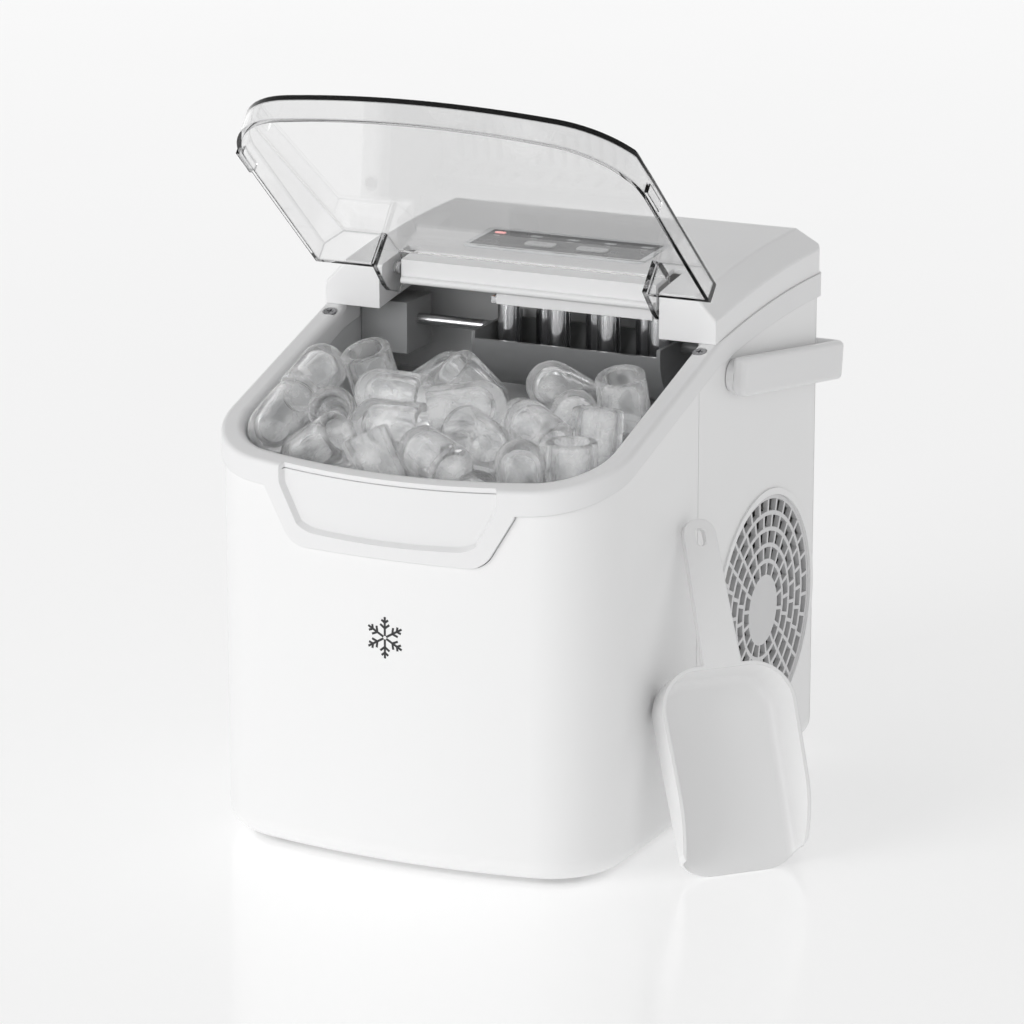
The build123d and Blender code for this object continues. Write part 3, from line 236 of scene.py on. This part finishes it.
def let_light_through(tree, shader, tint):
    """Lamps shine through the surface, so that it throws only a faint shadow."""
    path = tree.nodes.new("ShaderNodeLightPath")
    clear = tree.nodes.new("ShaderNodeBsdfTransparent")
    clear.inputs["Color"].default_value = (*tint, 1.0)
    choice = tree.nodes.new("ShaderNodeMixShader")
    tree.links.new(path.outputs["Is Shadow Ray"], choice.inputs["Fac"])
    tree.links.new(shader.outputs["BSDF"], choice.inputs[1])
    tree.links.new(clear.outputs["BSDF"], choice.inputs[2])
    tree.links.new(choice.outputs["Shader"], tree.nodes["Material Output"].inputs["Surface"])


def clear_lid():
    """Clear plastic, faintly smoky: light is lost along the way through it. Its edges are painted grey as
    a painted dark reflection.
    """
    material, tree, shader, place = new_material("clear_smoke_plastic")
    edge, _ = painted_edge_mask(tree, 1.6 * MM)
    # painted reflection: the lid's edges are painted dark grey, standing in for the dark reflections
    # along a clear edge
    tree.links.new(mixed(tree, edge, (0.99, 0.99, 0.99), (0.30, 0.30, 0.31)), shader.inputs["Base Color"])
    shader.inputs["IOR"].default_value = 1.40
    shader.inputs["Transmission Weight"].default_value = 1.0
    smudge = noise(tree, stretched(tree, place, (1.0, 1.0, 0.4)), 26.0, 5.0)
    tree.links.new(spread(tree, smudge, 0.01, 0.05, 0.4, 0.8), shader.inputs["Roughness"])
    bumped(tree, shader, noise(tree, place, 18.0, 2.0), 0.05, 0.4 * MM)
    smoke = tree.nodes.new("ShaderNodeVolumeAbsorption")
    smoke.inputs["Color"].default_value = (0.10, 0.10, 0.11, 1.0)
    smoke.inputs["Density"].default_value = 16.0
    tree.links.new(smoke.outputs["Volume"], tree.nodes["Material Output"].inputs["Volume"])
    let_light_through(tree, shader, (0.93, 0.93, 0.93))
    return material


def ice_material():
    """Wet ice: clear in places, milky in others, with a smooth bright skin."""
    material, tree, shader, _ = new_material("ice")
    local = tree.nodes.new("ShaderNodeAttribute")
    local.attribute_name = "bullet_place"
    ripples = noise(tree, stretched(tree, local.outputs["Vector"], (1.0, 1.0, 0.25)), 110.0, 1.0)
    frost = noise(tree, local.outputs["Vector"], 75.0, 3.0, 0.55)
    tone = mixed(tree, spread(tree, frost, 0.0, 1.0, 0.35, 0.7), (0.95, 0.955, 0.96), (1.0, 1.0, 1.0))
    tree.links.new(tone, shader.inputs["Base Color"])
    tree.links.new(spread(tree, frost, 0.95, 0.70, 0.40, 0.66), shader.inputs["Transmission Weight"])
    tree.links.new(spread(tree, frost, 0.03, 0.12, 0.40, 0.75), shader.inputs["Roughness"])
    shader.inputs["IOR"].default_value = 1.30
    bumped(tree, shader, ripples, 0.14, 0.5 * MM)
    let_light_through(tree, shader, (0.97, 0.97, 0.97))
    return material


def printed_fascia():
    """Printed film: a dark grey field inside a light border, with a fine screen texture."""
    material, tree, shader, place = new_material("printed_fascia")
    low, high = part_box("control_fascia")
    middle = (low + high) / 2
    half_x = (high.x - low.x) / 2 - FASCIA_BORDER
    half_y = (high.y - low.y) / 2 - FASCIA_BORDER
    split = tree.nodes.new("ShaderNodeSeparateXYZ")
    tree.links.new(place, split.inputs["Vector"])
    inside = []
    for axis, centre, half in (("X", middle.x, half_x), ("Y", middle.y, half_y)):
        offset = tree.nodes.new("ShaderNodeMath")
        offset.operation = "SUBTRACT"
        tree.links.new(split.outputs[axis], offset.inputs[0])
        offset.inputs[1].default_value = centre
        size = tree.nodes.new("ShaderNodeMath")
        size.operation = "ABSOLUTE"
        tree.links.new(offset.outputs["Value"], size.inputs[0])
        inside.append(spread(tree, size.outputs["Value"], 1.0, 0.0, half - 0.1 * MM, half + 0.1 * MM))
    both = tree.nodes.new("ShaderNodeMath")
    both.operation = "MULTIPLY"
    tree.links.new(inside[0], both.inputs[0])
    tree.links.new(inside[1], both.inputs[1])
    screen = noise(tree, place, 900.0, 2.0)
    field = mixed(tree, spread(tree, screen, 0.0, 1.0), (0.045, 0.047, 0.05), (0.06, 0.062, 0.066))
    print_colour = mixed(tree, both.outputs["Value"], (0.72, 0.73, 0.74), field)
    tree.links.new(print_colour, shader.inputs["Base Color"])
    tree.links.new(spread(tree, noise(tree, place, 45.0), 0.24, 0.36), shader.inputs["Roughness"])
    bumped(tree, shader, screen, 0.06, 0.03 * MM)
    return material


def circuit_board():
    """Green solder mask with a weave of lighter tracks."""
    material, tree, shader, place = new_material("circuit_board")
    tracks = tree.nodes.new("ShaderNodeTexBrick")
    tracks.inputs["Scale"].default_value = 160.0
    tracks.inputs["Mortar Size"].default_value = 0.03
    tracks.inputs["Color1"].default_value = (0.02, 0.16, 0.06, 1.0)
    tracks.inputs["Color2"].default_value = (0.03, 0.20, 0.08, 1.0)
    tracks.inputs["Mortar"].default_value = (0.12, 0.34, 0.14, 1.0)
    tree.links.new(place, tracks.inputs["Vector"])
    tree.links.new(tracks.outputs["Color"], shader.inputs["Base Color"])
    tree.links.new(spread(tree, noise(tree, place, 300.0), 0.3, 0.5), shader.inputs["Roughness"])
    bumped(tree, shader, tracks.outputs["Fac"], 0.2, 0.05 * MM)
    return material


def foam_block():
    """Closed-cell foam with visible cells."""
    material, tree, shader, place = new_material("cell_foam")
    cells = tree.nodes.new("ShaderNodeTexVoronoi")
    cells.inputs["Scale"].default_value = 700.0
    tree.links.new(place, cells.inputs["Vector"])
    tone = mixed(tree, spread(tree, cells.outputs["Distance"], 0.0, 1.0, 0.0, 0.7),
                 (0.82, 0.79, 0.68), (0.92, 0.90, 0.82))
    tree.links.new(tone, shader.inputs["Base Color"])
    tree.links.new(spread(tree, noise(tree, place, 90.0), 0.8, 0.95), shader.inputs["Roughness"])
    bumped(tree, shader, cells.outputs["Distance"], 0.4, 0.3 * MM)
    return material


def lit_lamp():
    """A lamp that glows a soft, slightly uneven red."""
    material, tree, shader, place = new_material("lit_lamp")
    glow = noise(tree, place, 500.0, 2.0)
    tone = mixed(tree, spread(tree, glow, 0.0, 1.0), (1.0, 0.30, 0.30), (1.0, 0.52, 0.50))
    tree.links.new(tone, shader.inputs["Base Color"])
    tree.links.new(tone, shader.inputs["Emission Color"])
    shader.inputs["Emission Strength"].default_value = 0.7
    tree.links.new(spread(tree, glow, 0.2, 0.35), shader.inputs["Roughness"])
    return material


# ---------------------------------------------------------------- finishes of the CAD nodes
WHITE = (0.90, 0.90, 0.90)
FRAME_GREY = (0.84, 0.84, 0.843)
COVER_GREY = (0.88, 0.88, 0.883)
LINER_GREY = (0.62, 0.625, 0.63)

FINISHES = {
    "white_shell": moulded_plastic("white_shell_plastic", WHITE, 0.34, grain=0.04, mottle=0.003),
    "white_frame": moulded_plastic("white_frame_plastic", FRAME_GREY, 0.38, grain=0.06, mottle=0.004),
    "white_cover": moulded_plastic("white_cover_plastic", COVER_GREY, 0.36, grain=0.06, mottle=0.004),
    "base_plastic": moulded_plastic("base_plastic", (0.60, 0.60, 0.60), 0.55, grain=0.3),
    "foot_rubber": rubber("foot_rubber", (0.03, 0.03, 0.03)),
    "clear_smoke": clear_lid(),
    "pin_plastic": moulded_plastic("pin_plastic", (0.55, 0.55, 0.56), 0.4),
    "screw_steel": metal("screw_steel", (0.34, 0.34, 0.35), 0.30, brush_scale=900.0),
    "fascia": printed_fascia(),
    "lamp": moulded_plastic("lamp_plastic", (0.50, 0.51, 0.52), 0.22, edges=False),
    "button_plastic": moulded_plastic("button_plastic", (0.58, 0.585, 0.59), 0.42, grain=0.25),
    "circuit_board": circuit_board(),
    "liner_plastic": moulded_plastic("liner_plastic", LINER_GREY, 0.34, mottle=0.015),
    "foam": foam_block(),
    "grey_plastic": moulded_plastic("grey_plastic", (0.36, 0.365, 0.37), 0.42),
    "basket_plastic": moulded_plastic("basket_plastic", (0.72, 0.73, 0.74), 0.3, edges=False),
    "tray_plastic": moulded_plastic("tray_plastic", (0.20, 0.203, 0.206), 0.30, edges=False),
    "bright_metal": metal("bright_metal", (0.86, 0.86, 0.87), 0.16, brush=(1.0, 1.0, 0.05)),
    "stainless": metal("stainless", (0.66, 0.66, 0.67), 0.26, brush=(0.06, 1.0, 1.0)),
    "black_steel": metal("black_steel", (0.03, 0.03, 0.032), 0.45, brush_scale=120.0, tarnish=0.3),
    "black_plastic": moulded_plastic("black_plastic", (0.028, 0.028, 0.03), 0.48, grain=0.3, edges=False),
    "fin_metal": metal("fin_metal", (0.72, 0.72, 0.73), 0.34, brush=(1.0, 1.0, 0.1)),
    "copper_tube": metal("copper_tube", (0.80, 0.42, 0.26), 0.28, brush_scale=200.0, tarnish=0.35),
    "black_rubber": rubber("black_rubber", (0.025, 0.025, 0.026)),
    "hose_rubber": rubber("hose_rubber", (0.62, 0.62, 0.60), 0.45),
    "scoop_plastic": moulded_plastic("scoop_plastic", (0.90, 0.90, 0.90), 0.32, grain=0.04, mottle=0.004),
}

# nodes whose look differs from the rest of their slot
OVERRIDES = {
    "handle": moulded_plastic("handle_plastic", (0.84, 0.84, 0.843), 0.36, grain=0.06, mottle=0.004),
    "fan_grille": moulded_plastic("grille_plastic", (0.72, 0.72, 0.725), 0.4, edges=False),
}


def dress_nodes():
    """Give every CAD node the finish of its slot."""
    slots = {part["node"]: part["material_slot"] for part in frame["record"]["subparts"]}
    for name, node in frame["nodes"].items():
        finish = OVERRIDES.get(name) or FINISHES[slots[name]]
        node.data.materials.clear()
        node.data.materials.append(finish)


# ---------------------------------------------------------------- helpers for new pieces
def make_object(name, bm, material, smooth=True):
    """An object from a bmesh, smooth shaded unless told otherwise."""
    mesh = bpy.data.meshes.new(name)
    bmesh.ops.recalc_face_normals(bm, faces=bm.faces)
    bm.to_mesh(mesh)
    bm.free()
    mesh.materials.append(material)
    if smooth:
        mesh.shade_smooth()
    piece = bpy.data.objects.new(name, mesh)
    bpy.context.scene.collection.objects.link(piece)
    return piece


def rim_height(y):
    """Height of the inclined rim at a place along the body."""
    return RIM_REAR_Z - (RIM_REAR_Y - y) * tan(radians(RIM_SLOPE))


# ---------------------------------------------------------------- the heap of ice
def segment_gaps(starts, ends, first, second):
    """Nearest points of pairs of rods, as shares along each rod and the vector between them."""
    p1, d1 = starts[first], ends[first] - starts[first]
    p2, d2 = starts[second], ends[second] - starts[second]
    between = p1 - p2
    a = (d1 * d1).sum(1)
    e = (d2 * d2).sum(1)
    b = (d1 * d2).sum(1)
    c = (d1 * between).sum(1)
    f = (d2 * between).sum(1)
    flat = np.maximum(a * e - b * b, 1e-14)
    s = np.clip((b * f - c * e) / flat, 0.0, 1.0)
    t = np.clip((b * s + f) / e, 0.0, 1.0)
    s = np.clip((b * t - c) / a, 0.0, 1.0)
    gap = p1 + d1 * s[:, None] - p2 - d2 * t[:, None]
    return s, t, gap


def push_apart(starts, ends, first, second, room):
    """Move overlapping rods away from each other."""
    s, t, gap = segment_gaps(starts, ends, first, second)
    distance = np.maximum(np.linalg.norm(gap, axis=1), 1e-9)
    overlap = np.maximum(room - distance, 0.0)
    push = gap / distance[:, None] * (overlap * 0.35)[:, None]
    np.add.at(starts, first, push * (1.0 - s)[:, None])
    np.add.at(ends, first, push * s[:, None])
    np.add.at(starts, second, -push * (1.0 - t)[:, None])
    np.add.at(ends, second, -push * t[:, None])


def hold_in_chamber(points, low, high, chamber_front, pusher_top):
    """Hold points inside the basket, and above it inside the chamber and clear of the pusher's way."""
    inset = ICE_RADIUS + WALL_ROOM
    above = points[:, 2] > high.z + 0.4 * ICE_RADIUS
    half_x = np.where(above, CHAMBER_HALF, BASKET_HALF) - ICE_RADIUS
    points[:, 0] = np.clip(points[:, 0], -half_x, half_x)
    corner = CHAMBER_CORNER * (points[:, 0] / CHAMBER_HALF) ** 2
    front = np.where(above, chamber_front + ICE_RADIUS + corner, low.y + inset + 0.5 * corner)
    slope = np.clip((points[:, 2] - pusher_top - 0.7 * ICE_RADIUS) * ICE_BACK_SLOPE, 0.0, ICE_BACK_REACH)
    back = high.y - inset + slope
    points[:, 1] = np.clip(points[:, 1], front, back)


def heap_of_rods(count):
    """Bullets dropped into the basket: the two ends of each one's middle line, and the random source."""
    rng = np.random.default_rng(ICE_SEED)
    low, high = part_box("ice_basket")
    floor = low.z + 2.0 * MM + ICE_RADIUS
    pusher_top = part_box("ice_pusher")[1].z
    chamber_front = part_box("chamber_liner")[0].y + 7.0 * MM
    middle = np.stack([rng.uniform(-0.065, 0.065, count), rng.uniform(-0.108, -0.050, count),
                       np.linspace(0.13, 0.46, count)], axis=1)
    heading = rng.normal(size=(count, 3)) * np.array([1.0, 1.0, 0.55])
    heading /= np.linalg.norm(heading, axis=1)[:, None]
    starts = middle - heading * ICE_REACH
    ends = middle + heading * ICE_REACH
    first, second = np.triu_indices(count, 1)
    room = 2.0 * ICE_RADIUS + 0.5 * MM
    for step in range(ICE_STEPS):
        settle = 1.0 - step / ICE_STEPS
        fall = ICE_FALL_START * settle + ICE_FALL_END
        shake = rng.normal(size=(count, 3)) * ICE_SHAKE * MM * settle ** 2
        starts += shake
        starts[:, 2] -= fall
        ends += shake
        ends[:, 2] -= fall
        for _ in range(ICE_TIES):
            push_apart(starts, ends, first, second, room)
            for points in (starts, ends):
                hold_in_chamber(points, low, high, chamber_front, pusher_top)
                points[:, 2] = np.maximum(points[:, 2], floor)
                lid_room = LID_FRONT_ROOM + (points[:, 1] - LID_FRONT_Y) * LID_RISE
                ceiling = rim_height(points[:, 1]) + lid_room - ICE_RADIUS - LID_GAP
                points[:, 2] = np.minimum(points[:, 2], ceiling)
            centre = (starts + ends) / 2
            along = ends - starts
            along /= np.linalg.norm(along, axis=1)[:, None]
            starts = centre - along * ICE_REACH
            ends = centre + along * ICE_REACH
    return starts, ends, rng


def bullet_profile():
    """Radius and height along a bullet: a dome, a straight side, a rounded rim and its hollow."""
    points = []
    for i in range(9):
        angle = pi / 2 * i / 8
        points.append((ICE_RADIUS * sin(angle), ICE_REACH + ICE_RADIUS * cos(angle)))
    tail = -ICE_REACH - ICE_RADIUS + 3.0 * MM
    for share in (0.3, 0.6, 0.85):
        points.append((ICE_RADIUS * (1.0 + 0.01 * share), ICE_REACH + (tail - ICE_REACH) * share))
    rim = (ICE_RADIUS - ICE_BORE) / 2
    for i in range(7):
        angle = pi * i / 6
        points.append((ICE_BORE + rim + rim * cos(angle), tail - rim * 0.7 * sin(angle)))
    crown = ICE_REACH - 1.0 * MM
    points.append((ICE_BORE * 0.97, (tail + crown) / 2))
    for i in range(6):
        angle = pi / 2 * i / 5
        points.append((ICE_BORE * 0.94 * cos(angle), crown + ICE_BORE * 0.8 * sin(angle)))
    return points


def ice_heap():
    """All the bullets as one piece, each slightly uneven, with its own local coordinates."""
    starts, ends, rng = heap_of_rods(ICE_COUNT)
    profile = bullet_profile()
    bm = bmesh.new()
    local = bm.verts.layers.float_vector.new("bullet_place")
    for start, end in zip(starts, ends):
        axis = Vector(end - start).normalized()
        if rng.random() < 0.45:
            axis.negate()
        turn = axis.to_track_quat("Z", "Y").to_matrix().to_4x4()
        place = Matrix.Translation(Vector((start + end) / 2)) @ turn
        phases = rng.uniform(0.0, 2.0 * pi, 4)
        seed_shift = Vector(rng.uniform(-1.0, 1.0, 3))
        rings = []
        for radius, height in profile:
            ring = []
            for k in range(ICE_SEGMENTS if radius > 1e-6 else 1):
                angle = 2.0 * pi * k / ICE_SEGMENTS
                wobble = 1.0 + ICE_WOBBLE[0] * sin(2 * angle + phases[0])
                wobble += ICE_WOBBLE[1] * sin(3 * angle + phases[1])
                wobble += ICE_WOBBLE[2] * sin(height * 160.0 + phases[2])
                point = Vector((radius * wobble * cos(angle), radius * wobble * sin(angle), height))
                vert = bm.verts.new(place @ point)
                vert[local] = point + seed_shift
                ring.append(vert)
            rings.append(ring)
        for upper, lower in zip(rings, rings[1:]):
            for k in range(ICE_SEGMENTS):
                after = (k + 1) % ICE_SEGMENTS
                if len(upper) == 1:
                    bm.faces.new((upper[0], lower[k], lower[after]))
                elif len(lower) == 1:
                    bm.faces.new((upper[k], upper[after], lower[0]))
                else:
                    bm.faces.new((upper[k], lower[k], lower[after], upper[after]))
    heap = make_object("ice_bullets", bm, ice_material())
    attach(heap, "ice_basket")


# ---------------------------------------------------------------- small printed and lit details
def frost_mark():
    """A plain six-armed frost sign printed on the front, bent to its bow."""
    low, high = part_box("front_shell")
    half_width = (high.x - low.x) / 2
    bm = bmesh.new()

    def bar(start, end):
        """One stroke of the sign, as a thin plate bent to the front."""
        start, end = Vector(start), Vector(end)
        along = (end - start).normalized()
        across = Vector((-along.y, along.x)) * MARK_STROKE
        pieces = 5
        layers = []
        for i in range(pieces + 1):
            middle = start.lerp(end, i / pieces)
            row = []
            for side in (-1, 1):
                spot = middle + across * side
                depth = low.y + FRONT_BOW * (spot.x / half_width) ** 2
                for lift in (-0.06 * MM, 0.10 * MM):
                    row.append(bm.verts.new((spot.x, depth - lift, MARK_HEIGHT + spot.y)))
            layers.append(row)
        for before, after in zip(layers, layers[1:]):
            for a, b in ((0, 1), (1, 3), (3, 2), (2, 0)):
                bm.faces.new((before[a], before[b], after[b], after[a]))
        bm.faces.new([layers[0][i] for i in (0, 2, 3, 1)])
        bm.faces.new([layers[-1][i] for i in (0, 1, 3, 2)])

    for i in range(6):
        angle = radians(90 + 60 * i)
        heading = Vector((cos(angle), sin(angle)))
        bar(heading * 0.9 * MM, heading * MARK_ARM)
        for share, length in ((0.45, 0.30), (0.72, 0.22)):
            root = heading * MARK_ARM * share
            for side in (-1, 1):
                turn = angle + side * radians(52)
                tip = root + Vector((cos(turn), sin(turn))) * MARK_ARM * length
                bar(root, tip)
    mark = make_object("frost_mark", bm, FINISHES["black_plastic"], smooth=False)
    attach(mark, "housing")


def fascia_spot(x, y, lift):
    """A place on the control panel: across, towards the back from its middle, and above it."""
    low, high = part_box("control_fascia")
    middle = (low + high) / 2
    tilt = radians(FASCIA_TILT)
    top = middle.z + FASCIA_SURFACE
    return Vector((middle.x + x, middle.y + y * cos(tilt) - lift * sin(tilt),
                   top + y * sin(tilt) + lift * cos(tilt)))


def slot_dome(bm, x, y, half_length, half_width, lift, height):
    """A low dome with a slot-shaped outline on the control panel."""
    outline = []
    for side, start in ((1, -pi / 2), (-1, pi / 2)):
        for i in range(9):
            angle = start + pi * i / 8
            outline.append((side * (half_length - half_width) + half_width * cos(angle),
                            half_width * sin(angle)))
    rings = []
    for share, up in ((1.0, 0.0), (0.97, 0.5), (0.85, 0.85), (0.6, 1.0)):
        rings.append([bm.verts.new(fascia_spot(x + px * share, y + py * share, lift + height * up))
                      for px, py in outline])
    count = len(outline)
    for lower, upper in zip(rings, rings[1:]):
        for k in range(count):
            after = (k + 1) % count
            bm.faces.new((lower[k], lower[after], upper[after], upper[k]))
    bm.faces.new(rings[-1])
    bm.faces.new(list(reversed(rings[0])))


def panel_details():
    """The lamp that is lit, and plain printed dashes beside the lamps and on the buttons."""
    lamp_low, lamp_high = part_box("indicator_windows")
    pitch = (lamp_high.x - lamp_low.x - 6.9 * MM) / 4
    bm = bmesh.new()
    slot_dome(bm, -2 * pitch, LAMP_ROW_Y, 3.2 * MM, 1.3 * MM, 0.25 * MM, 0.35 * MM)
    lamp = make_object("lit_lamp_lens", bm, lit_lamp())
    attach(lamp, "housing")
    bm = bmesh.new()
    for i in range(5):
        slot_dome(bm, (i - 2) * pitch, LAMP_ROW_Y - 4.6 * MM, 2.2 * MM, 0.35 * MM, -0.1 * MM, 0.14 * MM)
    dashes = make_object("panel_dashes", bm, FINISHES["white_cover"])
    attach(dashes, "housing")
    for button in ("start_button", "select_button"):
        low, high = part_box(button)
        centre_x = (low.x + high.x) / 2
        bm = bmesh.new()
        for side in (-1, 1):
            slot_dome(bm, centre_x + side * 2.2 * MM, BUTTON_ROW_Y,
                      1.7 * MM, 0.4 * MM, 0.78 * MM, 0.08 * MM)
        label = make_object(button + "_dashes", bm, FINISHES["grey_plastic"])
        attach(label, button)


# ---------------------------------------------------------------- studio
def pale_floor():
    """A wide white floor with a soft gloss."""
    bm = bmesh.new()
    bmesh.ops.create_grid(bm, x_segments=2, y_segments=2, size=30.0)
    material, tree, shader, place = new_material("studio_floor")
    tone = mixed(tree, noise(tree, place, 3.0), (0.90, 0.90, 0.90), (0.93, 0.93, 0.93))
    tree.links.new(tone, shader.inputs["Base Color"])
    tree.links.new(spread(tree, noise(tree, place, 2.0), 0.10, 0.14), shader.inputs["Roughness"])
    shader.inputs["Emission Color"].default_value = (1.0, 1.0, 1.0, 1.0)
    shader.inputs["Emission Strength"].default_value = FLOOR_GLOW
    floor = make_object("studio_floor", bm, material, smooth=False)


def soft_box(name, position, target, size, power):
    """A large area lamp aimed at a point."""
    data = bpy.data.lights.new(name, "AREA")
    data.shape = "RECTANGLE"
    data.size, data.size_y = size
    data.energy = power
    lamp = bpy.data.objects.new(name, data)
    lamp.location = position
    lamp.rotation_mode = "QUATERNION"
    lamp.rotation_quaternion = (Vector(target) - Vector(position)).to_track_quat("-Z", "Y")
    bpy.context.scene.collection.objects.link(lamp)


def studio_world():
    """A soft white surround, brighter low down and dimmer overhead, as a lit backdrop would be."""
    world = bpy.data.worlds.new("studio")
    bpy.context.scene.world = world
    world.use_nodes = True
    tree = world.node_tree
    sky = tree.nodes["Background"]
    place = tree.nodes.new("ShaderNodeTexCoord").outputs["Generated"]
    split = tree.nodes.new("ShaderNodeSeparateXYZ")
    tree.links.new(place, split.inputs["Vector"])
    sky.inputs["Color"].default_value = (1.0, 1.0, 1.0, 1.0)
    low_sky = spread(tree, split.outputs["Z"], 1.06, 0.50, 0.03, 0.45)
    tree.links.new(low_sky, sky.inputs["Strength"])


def camera():
    """A long-lens camera, slightly above the object and to the right of its front."""
    azimuth, elevation = radians(CAMERA_AZIMUTH), radians(CAMERA_ELEVATION)
    back = Vector((sin(azimuth) * cos(elevation), -cos(azimuth) * cos(elevation), sin(elevation)))
    data = bpy.data.cameras.new("camera")
    data.lens = CAMERA_LENS
    data.sensor_width = 36.0
    data.clip_start = 0.05
    data.clip_end = 200.0
    eye = bpy.data.objects.new("camera", data)
    eye.location = Vector(CAMERA_TARGET) + back * CAMERA_DISTANCE
    eye.rotation_mode = "QUATERNION"
    eye.rotation_quaternion = (-back).to_track_quat("-Z", "Y")
    bpy.context.scene.collection.objects.link(eye)
    bpy.context.scene.camera = eye


dress_nodes()
ice_heap()
frost_mark()
panel_details()
pale_floor()
studio_world()
soft_box("front_light", FRONT_LIGHT_POSITION, FRONT_LIGHT_TARGET, FRONT_LIGHT_SIZE, FRONT_LIGHT_POWER)
camera()
bpy.context.scene.view_settings.view_transform = "Standard"
